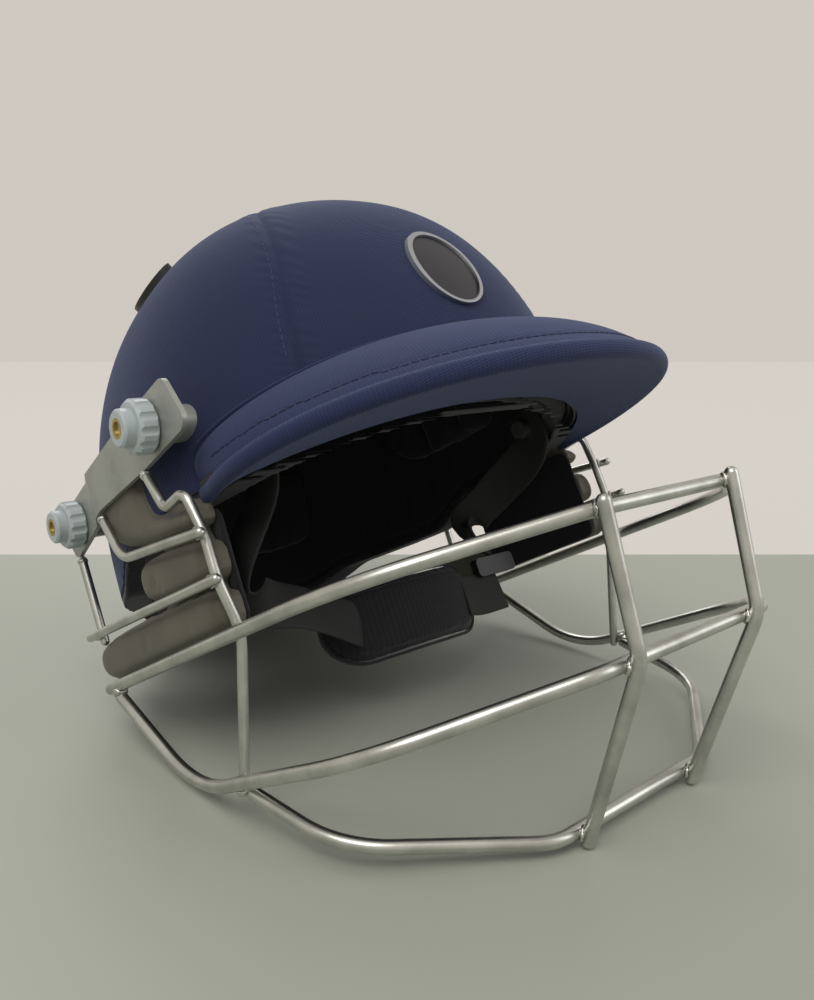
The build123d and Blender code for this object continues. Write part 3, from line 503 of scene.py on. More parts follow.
def grain_group():
    """Even skin with fine pores, slow colour drift and dull patches."""
    group, given, out = make_group("fine_grain", {
        "Base": (0.2, 0.2, 0.2, 1), "Worn": (0.3, 0.3, 0.3, 1), "Pores per metre": PORES,
        "Patches per metre": PATCHES, "Roughness from": 0.4, "Roughness to": 0.6})
    pores = noise_node(group, given["Vector"], given["Pores per metre"], 2.0)
    patches = noise_node(group, given["Vector"], given["Patches per metre"], 5.0, 0.6)
    speck = past(group, pores, 0.5, 0.35)
    share = math_node(group, "ADD", past(group, patches, 0.38, 3.2, True), speck, True)
    colour = mix_colour(group, share, given["Base"], given["Worn"])
    return give_out(group, out, colour, rough_between(group, given, patches), pores)


def brushed_group():
    """Polished wire and plate: long faint scratches, smears and a drift in tone."""
    group, given, out = make_group("rubbed_metal", {
        "Clean": (0.6, 0.6, 0.55, 1), "Smeared": (0.4, 0.4, 0.38, 1), "Scratches per metre": SCRATCHES,
        "Roughness from": 0.2, "Roughness to": 0.4})
    stretch = group.nodes.new("ShaderNodeMapping")
    stretch.inputs["Scale"].default_value = (1.0, 0.06, 1.0)
    group.links.new(given["Vector"], stretch.inputs["Vector"])
    lines = noise_node(group, stretch.outputs[0], given["Scratches per metre"], 2.0)
    smear = noise_node(group, given["Vector"], 55.0, 4.0, 0.6)
    share = scaled(group, lines, 0.18, past(group, smear, 0.42, 2.6, True), True)
    colour = mix_colour(group, share, given["Clean"], given["Smeared"])
    mixed = scaled(group, smear, 0.7, math_node(group, "MULTIPLY", lines, 0.3))
    return give_out(group, out, colour, rough_between(group, given, mixed), lines)


def grouped_material(name, group, values, bump, bump_distance, shader, coordinate="Object"):
    """Material whose colour, roughness and bump come from one shared effect."""
    material = bpy.data.materials.new(name)
    material.use_nodes = True
    tree = material.node_tree
    principled = tree.nodes["Principled BSDF"]
    place = tree.nodes.new("ShaderNodeTexCoord")
    effect = tree.nodes.new("ShaderNodeGroup")
    effect.node_tree = group
    tree.links.new(place.outputs[coordinate], effect.inputs["Vector"])
    for label, value in values.items():
        effect.inputs[label].default_value = value
    tree.links.new(effect.outputs["Color"], principled.inputs["Base Color"])
    tree.links.new(effect.outputs["Roughness"], principled.inputs["Roughness"])
    relief = tree.nodes.new("ShaderNodeBump")
    relief.inputs["Strength"].default_value = bump
    relief.inputs["Distance"].default_value = bump_distance
    tree.links.new(effect.outputs["Height"], relief.inputs["Height"])
    tree.links.new(relief.outputs["Normal"], principled.inputs["Normal"])
    for label, value in shader.items():
        principled.inputs[label].default_value = value
    return material


# Oval field of the badge plate, as a share of its half width, and how sharply the rim begins there
BADGE_FIELD = 0.86
BADGE_EDGE_SHARPNESS = 40.0


def badge_material(grain):
    """Oval plate with a silver rim and a dark enamelled middle."""
    silver = skin((0.50, 0.51, 0.54, 1), (0.38, 0.39, 0.42, 1), 0.28, 0.42)
    material = grouped_material("badge enamel", grain, silver, 0.05, 0.0001, {"Specular IOR Level": 0.6})
    tree = material.node_tree
    principled = tree.nodes["Principled BSDF"]
    effect = next(n for n in tree.nodes if n.type == "GROUP")
    place = tree.nodes.new("ShaderNodeTexCoord")
    low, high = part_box("badge_plate")
    centre, half = (low + high) / 2, (high - low) / 2
    move = tree.nodes.new("ShaderNodeMapping")
    move.inputs["Location"].default_value = (-centre.x / half.x, 0, -centre.z / half.z)
    move.inputs["Scale"].default_value = (1 / half.x, 0, 1 / half.z)
    tree.links.new(place.outputs["Object"], move.inputs["Vector"])
    length = tree.nodes.new("ShaderNodeVectorMath")
    length.operation = "LENGTH"
    tree.links.new(move.outputs[0], length.inputs[0])
    rim = past(tree, length.outputs["Value"], BADGE_FIELD, BADGE_EDGE_SHARPNESS, True)
    tree.links.new(mix_colour(tree, rim, (0.012, 0.012, 0.018, 1), effect.outputs["Color"]),
                   principled.inputs["Base Color"])
    tree.links.new(math_node(tree, "MULTIPLY", rim, 0.8), principled.inputs["Metallic"])


def shade(colour, share=1.0):
    return tuple(c * share for c in colour[:3]) + (1.0,)


# The Shade colour is a darker copy of the thread colour, painted shade for the low places between the
# threads.
def woven(colour, light, dark, unevenness, ribs, wefts):
    return {"Thread": shade(colour, light), "Shade": shade(colour, dark), "Unevenness": unevenness,
            "Ribs per metre": ribs, "Wefts per metre": wefts}


def skin(base, worn_to, low, high, pores=PORES, patches=PATCHES):
    return {"Base": base, "Worn": worn_to, "Roughness from": low, "Roughness to": high,
            "Pores per metre": pores, "Patches per metre": patches}


def metal(clean, smeared, low, high, scratches=SCRATCHES):
    return {"Clean": clean, "Smeared": smeared, "Roughness from": low, "Roughness to": high,
            "Scratches per metre": scratches}


class HelmetLook(bpy.types.PropertyGroup):
    """Colours and sizes of the helmet's cloth, foam, webbing and metal."""

    cloth_colour: FloatVectorProperty(
        name="Cloth", description="Thread colour of the shell and peak cloth", subtype="COLOR",
        default=(0.024, 0.032, 0.092), min=0, max=1)
    steel_colour: FloatVectorProperty(
        name="Steel", description="Colour of the guard's clean wire", subtype="COLOR",
        default=(0.60, 0.61, 0.57), min=0, max=1)
    plate_colour: FloatVectorProperty(
        name="Side plates", description="Colour of the satin side plates", subtype="COLOR",
        default=(0.40, 0.41, 0.37), min=0, max=1)
    foam_colour: FloatVectorProperty(
        name="Ear foam", description="Colour of the moulded ear pads", subtype="COLOR",
        default=(0.124, 0.114, 0.080), min=0, max=1)
    lining_colour: FloatVectorProperty(
        name="Lining", description="Colour of the padding inside the shell", subtype="COLOR",
        default=(0.012, 0.012, 0.016), min=0, max=1)
    webbing_colour: FloatVectorProperty(
        name="Webbing", description="Thread colour of the chin strap", subtype="COLOR",
        default=(0.013, 0.012, 0.012), min=0, max=1)
    nut_colour: FloatVectorProperty(
        name="Thumb nuts", description="Colour of the moulded thumb nuts", subtype="COLOR",
        default=(0.45, 0.50, 0.50), min=0, max=1)
    rib_pitch: FloatProperty(
        name="Rib pitch", description="Distance between two ribs of the shell cloth", subtype="DISTANCE",
        unit="LENGTH", default=0.0009, min=0.0004, max=0.004)
    stitch_pitch: FloatProperty(
        name="Stitch pitch", description="Distance from one stitch to the next", subtype="DISTANCE",
        unit="LENGTH", default=0.0034, min=0.001, max=0.01)
    thread_radius: FloatProperty(
        name="Thread radius", description="Half the thickness of the sewing thread", subtype="DISTANCE",
        unit="LENGTH", default=0.00028, min=0.0001, max=0.001)
    seam_pull: FloatProperty(
        name="Seam pull", description="How deep a sewn seam draws the cloth in", subtype="DISTANCE",
        unit="LENGTH", default=0.0009, min=0, max=0.003)
    cloth_steps: IntProperty(
        name="Cloth steps", description="Rows of faces round the shell", default=300, min=60, max=500)


def look():
    return bpy.context.scene.helmet_look


class HELMET_OT_finishes(bpy.types.Operator):
    """Makes the shared effects and every material of the helmet"""

    bl_idname = "helmet.finishes"
    bl_label = "Finishes"

    def execute(self, context):
        weave, grain, brushed = weave_group(), grain_group(), brushed_group()
        for row in (*self.cloths(weave), *self.skins(grain), *self.metals(brushed)):
            grouped_material(*row)
        badge_material(grain)
        return {"FINISHED"}

    # Each row: name, effect and its values, strength and depth of the bump, shader values, and the
    # coordinate where it isn't the object's own
    @staticmethod
    def cloths(weave):
        own = look()
        cloth, black, web = own.cloth_colour, own.lining_colour, own.webbing_colour
        ribs = (1 / own.rib_pitch, 0.7 / own.rib_pitch)
        sheen = {"Sheen Weight": 0.25, "Sheen Roughness": 0.45, "Sheen Tint": (0.5, 0.6, 0.9, 1),
                 "Specular IOR Level": 0.25}
        quiet = {"Sheen Weight": 0.15, "Sheen Roughness": 0.5, "Specular IOR Level": 0.25}
        return (
            ("shell cloth", weave, woven(cloth, 1.0, 0.45, 0.5, *ribs), 0.5, 0.0003, sheen, "UV"),
            # Painted light: the peak cloth is the shell cloth made lighter, for the light on the peak's upper
            # face.
            ("peak cloth", weave, woven(cloth, 1.35, 0.55, 0.4, *ribs), 0.5, 0.0003, sheen, "UV"),
            ("lining cloth", weave, woven(black, 1.0, 0.5, 0.6, 420.0, 420.0), 0.4, 0.0003, quiet),
            ("binding cloth", weave, woven(black, 1.5, 0.7, 0.5, 700.0, 700.0), 0.4, 0.0003, quiet),
            ("webbing", weave, woven(web, 1.6, 0.35, 0.4, 480.0, 160.0), 0.9, 0.0006, quiet, "UV"),
        )

    @staticmethod
    def skins(grain):
        own = look()
        cloth, foam, nut = own.cloth_colour, own.foam_colour, own.nut_colour
        fitting = skin((0.010, 0.011, 0.013, 1), (0.018, 0.019, 0.022, 1), 0.35, 0.55)
        shell = skin((0.012, 0.012, 0.018, 1), (0.02, 0.02, 0.028, 1), 0.4, 0.6)
        return (
            ("sewing thread", grain, skin(shade(cloth, 0.5), shade(cloth, 0.9), 0.5, 0.7), 0.3, 0.0001, {}),
            ("ear foam", grain, skin(shade(foam, 0.72), shade(foam), 0.42, 0.62, 1500.0, 35.0), 0.25, 0.0004,
             {"Specular IOR Level": 0.4, "Sheen Weight": 0.1}),
            ("nut plastic", grain, skin(shade(nut), shade(nut, 0.8), 0.34, 0.5, 1200.0), 0.08, 0.0002, {}),
            ("black plastic", grain, fitting, 0.1, 0.0002, {}),
            ("shell plastic", grain, shell, 0.08, 0.0002, {}),
        )

    @staticmethod
    def metals(brushed):
        own = look()
        steel, plate = own.steel_colour, own.plate_colour
        bare, satin = {"Metallic": 1.0}, {"Metallic": 0.55}
        wire = metal(shade(steel), shade(steel, 0.62), 0.22, 0.42)
        weld = metal(shade(steel, 1.1), shade(steel, 0.5), 0.18, 0.5, 700.0)
        sheet = metal(shade(plate), shade(plate, 0.72), 0.36, 0.52, 900.0)
        brass = metal((0.62, 0.46, 0.16, 1), (0.34, 0.24, 0.09, 1), 0.22, 0.4)
        return (
            ("guard wire", brushed, wire, 0.08, 0.0001, bare),
            ("weld metal", brushed, weld, 0.25, 0.0003, bare),
            ("side plate", brushed, sheet, 0.06, 0.0001, satin),
            ("brass", brushed, brass, 0.08, 0.0001, bare),
        )


# Shell cloth: sizes in worn millimetres
STITCH_SHARE = 0.62
CLOTH_LEVELS = 120
SKIRT_LEVELS = 20
CLOTH_DEPTH = 1.3
RIM_LAP = 3.6
SEAM_BAND = 9.0
SEAM_FOOT = 180.0
SEAM_MARGIN = 4.0
SEAM_WIDTH = 1.1
SEAM_SHOULDER = 3.2
SEAM_SHOULDER_WIDTH = 2.2
SEAM_SHOULDER_RISE = 0.28
SEAM_STITCH_ASIDE = 2.4
SEAM_STITCH_LIFT = 0.35
SEAM_STATIONS = 400
SEAM_SPAN = 0.985
CLOTH_RISE = 0.25
CLOTH_DRIFT = 0.3
CLOTH_DRIFT_RATE = 0.016
PUCKERS = 120
RIB_SLANT = (0.82, 0.57)
WEFT_SLANT = 0.5


def stitch(name, path):
    """A row of stitches along a path in worn millimetres."""
    own = look()
    lines = stitch_lines(stood(path), own.stitch_pitch, own.stitch_pitch * STITCH_SHARE)
    mesh = tube_mesh(name, lines, own.thread_radius, 6)
    new_piece(name, mesh, HELMET, "sewing thread")


def cloth_grid():
    """Grid over the dome in worn millimetres, closed by one place at its top."""
    around = look().cloth_steps
    turns = np.linspace(0, 2 * math.pi, around, endpoint=False)
    c, s = np.cos(turns), np.sin(turns)
    reach = np.where(s > 0, REAR_REACH, FRONT_REACH)
    x = np.sign(c) * np.abs(c) ** (2 / PLAN_POWER) * HALF_WIDTH
    y = np.sign(s) * np.abs(s) ** (2 / PLAN_POWER) * reach
    rise = np.linspace(0, math.pi / 2, CLOTH_LEVELS)[:-1]
    skirt = np.linspace(WAIST_Z - SKIRT_DROP, WAIST_Z - 1.5, SKIRT_LEVELS)
    levels = [(z, float(spread_at(z))) for z in skirt]
    levels += [(WAIST_Z + RISE * math.sin(t) ** (2 / PROFILE_POWER), math.cos(t) ** (2 / PROFILE_POWER))
               for t in rise]
    points = [np.stack([x * spread, WAIST_Y + y * spread, np.full(around, z)], 1) for z, spread in levels]
    points = list(np.concatenate(points)) + [np.array([0, WAIST_Y, WAIST_Z + RISE])]
    faces = grid_faces(len(levels), around, False, True)
    last = (len(levels) - 1) * around
    faces += [(last + k, last + (k + 1) % around, len(points) - 1) for k in range(around)]
    return points, faces


def seam_gap(place):
    return place[1] - float(seam_y(place[2]))


def cloth_panel(name, level):
    """One cut panel of the shell's cloth, trimmed and drawn in along its seam."""
    points, faces = cloth_grid()
    bm = bmesh.new()
    verts = [bm.verts.new(tuple(p)) for p in points]
    for face in faces:
        bm.faces.new([verts[i] for i in face])
    trim(bm, lambda c: c.z - float(rim_z(c.y)) - RIM_LAP)
    near = [e for e in bm.edges if e.verts[0].co.z > SEAM_FOOT - SEAM_MARGIN
            and min(abs(seam_gap(v.co)) for v in e.verts) < SEAM_BAND]
    bmesh.ops.subdivide_edges(bm, edges=near, cuts=2, use_grid_fill=True)
    trim(bm, level)
    bmesh.ops.remove_doubles(bm, verts=bm.verts, dist=0.05)
    mesh = bpy.data.meshes.new(name)
    bm.to_mesh(mesh)
    bm.free()
    flat = coords(mesh)
    fix_outward(mesh, np.array([0, WAIST_Y, WAIST_Z]))
    out = normals(mesh)
    from_seam = np.where(flat[:, 2] < SEAM_FOOT, 1000.0, np.abs(flat[:, 1] - seam_y(flat[:, 2])))
    pull = falloff(from_seam, SEAM_WIDTH) * look().seam_pull * 1000
    shoulder = falloff(from_seam - SEAM_SHOULDER, SEAM_SHOULDER_WIDTH) * SEAM_SHOULDER_RISE
    across = np.arctan2(flat[:, 0], flat[:, 2] - 150)
    pucker = 0.5 + 0.5 * np.sin(across * PUCKERS + 2.0 * np.sin(across * 17))
    drift = np.array([noise.noise(Vector(p) * CLOTH_DRIFT_RATE) for p in flat]) * CLOTH_DRIFT
    lift = CLOTH_RISE + shoulder * (0.3 + 0.7 * pucker) - pull + drift
    set_coords(mesh, stood(flat + out * lift[:, None]))
    layer = mesh.uv_layers.new(name="cloth")
    u = (flat[:, 2] * RIB_SLANT[0] + flat[:, 1] * RIB_SLANT[1]) / 1000
    v = (np.abs(flat[:, 0]) + flat[:, 1] * WEFT_SLANT) / 1000
    for loop in mesh.loops:
        k = loop.vertex_index
        layer.data[loop.index].uv = (u[k], v[k])
    return mesh


class HELMET_OT_shell_cloth(bpy.types.Operator):
    """Lays the front and rear cloth panels over the shell and sews their seam"""

    bl_idname = "helmet.shell_cloth"
    bl_label = "Shell cloth"

    def execute(self, context):
        for name, level, node in (("cloth_front", lambda c: -seam_gap(c), "cover_front_panel"),
                                  ("cloth_rear", seam_gap, "cover_rear_panel")):
            piece = new_piece(name, cloth_panel(name, level), HELMET, "shell cloth", (node,))
            mod = piece.modifiers.new("depth", "SOLIDIFY")
            mod.thickness = CLOTH_DEPTH / 1000
            mod.offset = -1
            apply_modifiers(piece)
        self.sew()
        give(("outer_shell",), "shell plastic")
        give(("badge_plate",), "badge enamel")
        give(("vent_cover_left", "vent_cover_right"), "black plastic")
        return {"FINISHED"}

    def sew(self):
        """The row of stitches beside the crown seam."""
        path = []
        for x in HALF_WIDTH * np.linspace(-SEAM_SPAN, SEAM_SPAN, SEAM_STATIONS):
            z = self.seam_height(x, SEAM_STITCH_ASIDE)
            if z is not None:
                path.append((x, float(seam_y(z)) + SEAM_STITCH_ASIDE, z))
        path = np.array(path)
        out = path - np.array([0, WAIST_Y, WAIST_Z])
        out /= np.linalg.norm(out, axis=1, keepdims=True)
        stitch("seam_stitches", path + out * SEAM_STITCH_LIFT)

    @staticmethod
    def seam_height(x, aside):
        """Height on the dome where the seam, moved aside, crosses a distance from the middle."""
        low, high = SEAM_FOOT + 6, WAIST_Z + RISE - 0.2

        def outside(z):
            spread = float(spread_at(np.array(z)))
            y = float(seam_y(z)) + aside - WAIST_Y
            reach = REAR_REACH if y > 0 else FRONT_REACH
            return (abs(x) / HALF_WIDTH) ** PLAN_POWER + (abs(y) / reach) ** PLAN_POWER - spread**PLAN_POWER

        if outside(low) > 0:
            return None
        for _ in range(40):
            middle = (low + high) / 2
            if outside(middle) < 0:
                low = middle
            else:
                high = middle
        return low


def fix_outward(mesh, centre):
    """Turns faces so that their normals point away from a centre."""
    bm = bmesh.new()
    bm.from_mesh(mesh)
    bmesh.ops.recalc_face_normals(bm, faces=bm.faces)
    total = sum((f.calc_center_median() - Vector(centre)).dot(f.normal) * f.calc_area() for f in bm.faces)
    if total < 0:
        bmesh.ops.reverse_faces(bm, faces=bm.faces)
    bm.to_mesh(mesh)
    bm.free()


# Peak: sizes in millimetres across its edge
PEAK_STITCH_INSET = 7.0
PEAK_GROOVE = (1.3, 0.35)
PEAK_SWELL = (4.5, 0.5)
PEAK_STITCH_LIFT = 0.15
PEAK_STITCH_END = 0.93
PEAK_STEPS = (34, 12, 20)
PIPING_RADIUS = 0.9


def round_head(angle, radius, z):
    """Worn place at an angle from the front and a distance from the middle of the head."""
    return radius * math.sin(angle), WAIST_Y - radius * math.cos(angle), z


def peak_root(angle):
    """How much of the peak is left at an angle from the front, and the height of its root there."""
    fade = math.cos(math.pi / 2 * min(abs(angle) / PEAK_END, 1))
    return fade, PEAK_ROOT + PEAK_ROOT_LIFT * fade**PEAK_ROOT_POWER


def peak_section(angle):
    """Radius and height along one section of the peak, from its root round the edge to its underside."""
    fade, root_z = peak_root(angle)
    facing = math.cos(angle) ** 2
    floor_z = PEAK_FLOOR + PEAK_FLOOR_LIFT * facing
    least = PEAK_END_REACH + (PEAK_REACH - PEAK_END_REACH) * fade + PEAK_CLEARANCE
    sweep = math.cos(math.pi / 2 * min(abs(angle) / PEAK_CLOTH_SWEEP, 1))
    reach = max(least, PEAK_CLOTH_REACH * sweep**PEAK_CLOTH_POWER)
    base, rise, dip = PEAK_EDGE_Z
    low_z = base + rise * facing + dip * facing**2 - PEAK_EDGE_DROP
    nose = PEAK_NOSE
    nose_radius = float(dome_radius(angle, low_z + nose)) + reach
    root_radius = float(dome_radius(angle, root_z))
    inner = float(dome_radius(angle, floor_z)) - 1.5
    start, end = (nose_radius - nose, low_z + 2 * nose), (nose_radius - nose, low_z)
    bulge = nose * fade
    middle = ((nose_radius + root_radius) / 2 + bulge, (low_z + 2 * nose + root_z) / 2 + bulge)
    top_steps, edge_steps, under_steps = PEAK_STEPS
    upper = arc((root_radius - 1.2, root_z), middle, start, top_steps)
    edge = arc(start, (nose_radius, low_z + nose), end, edge_steps)[1:]
    under = np.linspace(end, (inner, floor_z), under_steps)[1:]
    marks = np.array([0] * len(upper) + [1] * len(edge) + [2] * len(under))
    return np.array([*upper, *edge, *under]), marks, fade


class HELMET_OT_peak(bpy.types.Operator):
    """Builds the cloth covered peak with its sewn edge and the piping at its root"""

    bl_idname = "helmet.peak"
    bl_label = "Peak"

    def execute(self, context):
        points, uvs, path = [], [], []
        for angle in np.linspace(-PEAK_END, PEAK_END, PEAK_STATIONS):
            bent, along, stitch_place = self.sewn_section(angle)
            points += [round_head(angle, radius, z) for radius, z in bent]
            uvs += [(a / 1000, angle * 0.125) for a in along]
            if abs(angle) < PEAK_END * PEAK_STITCH_END:
                path.append(round_head(angle, *stitch_place))
        mesh = mesh_from("peak_cloth", stood(points), grid_faces(PEAK_STATIONS, len(bent)), uvs)
        piece = new_piece("peak_cloth", mesh, HELMET, "peak cloth", ("peak_cover",))
        fix_outward(piece.data, stood([(0, WAIST_Y - 60, PEAK_FLOOR + 8)])[0])
        stitch("peak_stitches", path)
        self.piping()
        return {"FINISHED"}

    @staticmethod
    def sewn_section(angle):
        """One section with the groove of its stitches and its swollen edge, and the place of the stitches."""
        line, marks, fade = peak_section(angle)
        along = run_along(line)
        tangent = np.gradient(line, axis=0)
        tangent /= np.linalg.norm(tangent, axis=1, keepdims=True)
        normal = np.stack([-tangent[:, 1], tangent[:, 0]], 1)
        normal *= np.where(marks == 2, -1, 1)[:, None]
        if normal[len(line) // 4, 1] < 0:
            normal *= -1
        edge_at = along[np.argmax(marks == 1)]
        from_stitch = np.abs(along - (edge_at - PEAK_STITCH_INSET))
        groove = falloff(from_stitch, PEAK_GROOVE[0]) * PEAK_GROOVE[1] * fade
        swell = falloff(along - edge_at, PEAK_SWELL[0]) * PEAK_SWELL[1] * fade
        bent = line + normal * np.where(marks == 2, 0, swell - groove)[:, None]
        k = int(np.argmin(from_stitch))
        return bent, along, bent[k] + normal[k] * PEAK_STITCH_LIFT

    @staticmethod
    def piping():
        """Half round piping where the peak leaves the shell."""
        line = []
        for angle in np.linspace(-PEAK_END, PEAK_END, PEAK_STATIONS):
            z = peak_root(angle)[1]
            line.append(round_head(angle, float(dome_radius(angle, z)) + 0.1, z))
        mesh = tube_mesh("peak_piping", [stood(line)], PIPING_RADIUS / 1000, 12)
        new_piece("peak_piping", mesh, HELMET, "peak cloth", ("peak_welt",))


class HELMET_OT_padding(bpy.types.Operator):
    """Replaces the rim binding, the liner and the pads inside the shell by soft pieces"""

    bl_idname = "helmet.padding"
    bl_label = "Rim and padding"

    def execute(self, context):
        soft_piece("rim_binding", "rim_binding_cloth", HELMET, "binding cloth", 0.0012, 5)
        soft_piece("foam_liner", "liner_cloth", HELMET, "lining cloth", 0.0024, 3)
        pads = (("sweatband", "sweatband_pad", 0.0010), ("crown_pad", "crown_cushion", 0.0016),
                ("rear_pad", "rear_cushion", 0.0014), ("side_pad_left", "side_cushion_left", 0.0014),
                ("side_pad_right", "side_cushion_right", 0.0014))
        for node, name, cap in pads:
            soft_piece(node, name, HELMET, "lining cloth", 0.0022, 4, cap)
        return {"FINISHED"}


# Ear pads in worn millimetres: outlines in (y, z), each with the height of its crown and its edge radius.
# In order: the web against the shell above, the upper, middle and lower pads, and the web that joins them
EAR_BASE = 98.9
EAR_SECTIONS = (
    (((57, 144), (90, 147), (126, 155), (132, 166), (122, 176), (84, 176), (80, 160), (57, 151)), 104.2, 4.0),
    (((55.2, 144.6), (60, 141.9), (72, 142.6), (94, 145.4), (124, 153), (133.4, 161), (134.6, 171),
      (124, 178), (96, 178), (94.6, 170), (92.6, 161), (88, 154.4), (72, 151.4), (60, 149.6)), 109.7, 4.8),
    (((55.2, 124), (60, 121.6), (84, 122.8), (105, 124.8), (111, 128), (111.4, 137.6), (106, 142),
      (94, 141.2), (60, 136.6), (55.2, 133)), 110.4, 4.6),
    (((54.6, 107), (58.6, 103.8), (100, 104), (150, 104), (165.5, 104.6), (171.5, 109), (171.4, 116.8),
      (165, 121.4), (120, 121.4), (75, 119), (58, 117.6), (54.6, 114.6)), 110.6, 4.4),
    (((60, 104), (150, 106), (150, 118), (104, 122), (104, 150), (60, 150)), 101.4, 1.6),
)
# Place, width and depth of each dent
EAR_DENTS = (((96.5, 131), 2.6, 0.9), ((93, 128.4), 1.6, 0.7), ((64, 146.6), 2.2, 0.5),
             ((118, 112), 4.0, 0.4), ((78, 110), 2.4, 0.35), ((112, 165), 3.0, 0.3))
EAR_GRID = 0.9
EAR_DISH = 0.5
EAR_DISH_RUN = 6
EAR_VOXEL = 0.0009
EAR_WAVE = 0.16
EAR_WAVE_RATE = 70


def rounded_outline(outline, rounds=3):
    """Closed outline with its corners cut rounder each time."""
    p = np.array(outline, float)
    for _ in range(rounds):
        ahead = np.roll(p, -1, axis=0)
        p = np.stack([p * 0.75 + ahead * 0.25, p * 0.25 + ahead * 0.75], 1).reshape(-1, 2)
    return p


def depth_inside(places, outline):
    """Distance of each place from a closed outline, positive inside it."""
    a, b = outline, np.roll(outline, -1, axis=0)
    run = b - a
    to = places[:, None] - a[None]
    share = np.clip((to * run).sum(2) / (run**2).sum(1), 0, 1)
    gap = np.linalg.norm(to - share[..., None] * run, axis=2).min(1)
    crosses = (a[None, :, 1] > places[:, None, 1]) != (b[None, :, 1] > places[:, None, 1])
    rise = np.where(run[:, 1] == 0, 1e-9, run[:, 1])
    at = a[:, 0] + (places[:, None, 1] - a[:, 1]) * run[:, 0] / rise
    inside = (crosses & (places[:, None, 0] < at)).sum(1) % 2 == 1
    return np.where(inside, gap, -gap)


def moulded_section(bm, outline, crown, edge):
    """Adds one closed raised section with a rounded edge, in worn millimetres, crown towards -X."""
    outline = rounded_outline(outline)
    low, high = outline.min(0) - 1, outline.max(0) + 1
    ys, zs = (np.arange(low[k], high[k] + EAR_GRID, EAR_GRID) for k in (0, 1))
    places = np.stack(np.meshgrid(ys, zs, indexing="ij"), 2).reshape(-1, 2)
    depth = depth_inside(places, outline)
    inner = np.clip(depth, 0, edge)
    dish = EAR_DISH * falloff(np.maximum(depth, 0), EAR_DISH_RUN)
    height = np.where(depth > 0, crown - edge + np.sqrt(edge**2 - (edge - inner) ** 2) - dish, crown - edge)
    near = {}
    for k in np.nonzero(depth > -EAR_GRID)[0]:
        near[k] = (bm.verts.new((-height[k], *places[k])), bm.verts.new((-EAR_BASE, *places[k])))
    columns = len(zs)
    sides = []
    for k in near:
        corners = (k, k + columns, k + columns + 1, k + 1)
        if (k + 1) % columns and all(c in near for c in corners):
            bm.faces.new([near[c][0] for c in corners])
            bm.faces.new([near[c][1] for c in reversed(corners)])
            sides += zip(corners, corners[1:] + corners[:1])
    shared = set(sides)
    for a, b in sides:
        if (b, a) not in shared:
            bm.faces.new([near[b][0], near[a][0], near[a][1], near[b][1]])
    loose = [v for pair in near.values() for v in pair if not v.link_faces]
    bmesh.ops.delete(bm, geom=loose, context="VERTS")


class HELMET_OT_ear_pads(bpy.types.Operator):
    """Builds the moulded ear pads with their rounded crowns and small dents"""

    bl_idname = "helmet.ear_pads"
    bl_label = "Ear pads"

    def execute(self, context):
        bm = bmesh.new()
        for section in EAR_SECTIONS:
            moulded_section(bm, *section)
        bmesh.ops.recalc_face_normals(bm, faces=bm.faces)
        mesh = bpy.data.meshes.new("ear_foam")
        bm.to_mesh(mesh)
        bm.free()
        set_coords(mesh, stood(coords(mesh)))
        piece = evened(linked("ear_foam", mesh), EAR_VOXEL, 5)
        place, out = coords(piece.data), normals(piece.data)
        flat = worn(place)
        lift = np.zeros(len(flat))
        for spot, size, depth in EAR_DENTS:
            gap = np.linalg.norm(flat[:, 1:] - np.array(spot), axis=1)
            lift -= depth * falloff(gap, size) * (flat[:, 0] < -EAR_BASE - 3)
        lift += EAR_WAVE * np.array([noise.noise(Vector(p) * EAR_WAVE_RATE) for p in place])
        set_coords(piece.data, place + out * lift[:, None] / 1000)
        for side in ("right", "left"):
            half = piece.data.copy()
            if side == "left":
                half.transform(Matrix.Scale(-1, 4, (1, 0, 0)))
                half.flip_normals()
            pad = new_piece("ear_foam_" + side, half, HELMET, "ear foam", ("ear_pad_" + side,))
            soft_piece("ear_pad_lining_" + side, "ear_lining_" + side, HELMET, "lining cloth",
                       EAR_VOXEL, 2)
        bpy.data.objects.remove(piece)
        return {"FINISHED"}


# Guard
WELD_RIPPLE = 0.00022


class HELMET_OT_guard(bpy.types.Operator):
    """Gives the wires, plates and studs their metal, and builds the weld beads"""

    bl_idname = "helmet.guard"
    bl_label = "Guard"

    def execute(self, context):
        wires = ["top_bar", "middle_bar", "bottom_bar"]
        for name in ("vertical_bar", "side_wire", "ear_bar_upper", "ear_bar_lower", "rear_wire"):
            wires += [name + "_" + side for side in SIDES]
        give(wires, "guard wire")
        give(["side_plate_left", "side_plate_right", "stud_spacers"], "side plate")
        give(["side_studs", "strap_pins", "strap_eyelets"], "guard wire")
        piece = remeshed("weld_beads", 0.00042, 2)
        place, out = coords(piece.data), normals(piece.data)
        ripple = np.array([noise.noise(Vector(p) * 700) + 0.6 * noise.noise(Vector(p) * 1700) for p in place])
        set_coords(piece.data, place + out * (WELD_RIPPLE * ripple)[:, None])
        dress(piece, "weld_puddles", HELMET, "weld metal", ("weld_beads",))
        return {"FINISHED"}


class HELMET_OT_thumb_nuts(bpy.types.Operator):
    """Gives the four thumb nuts their plastic and their brass inserts"""

    bl_idname = "helmet.thumb_nuts"
    bl_label = "Thumb nuts"

    def execute(self, context):
        for place in ("front", "rear"):
            for side in SIDES:
                give(["thumb_nut_" + place + "_" + side], "nut plastic")
                give(["nut_insert_" + place + "_" + side], "brass")
        return {"FINISHED"}


# Chin strap
WEB_WIDTH = 20.0
WEB_DEPTH = 2.0
WEB_SIDES = 28
WEB_POWERS = (0.35, 0.7)


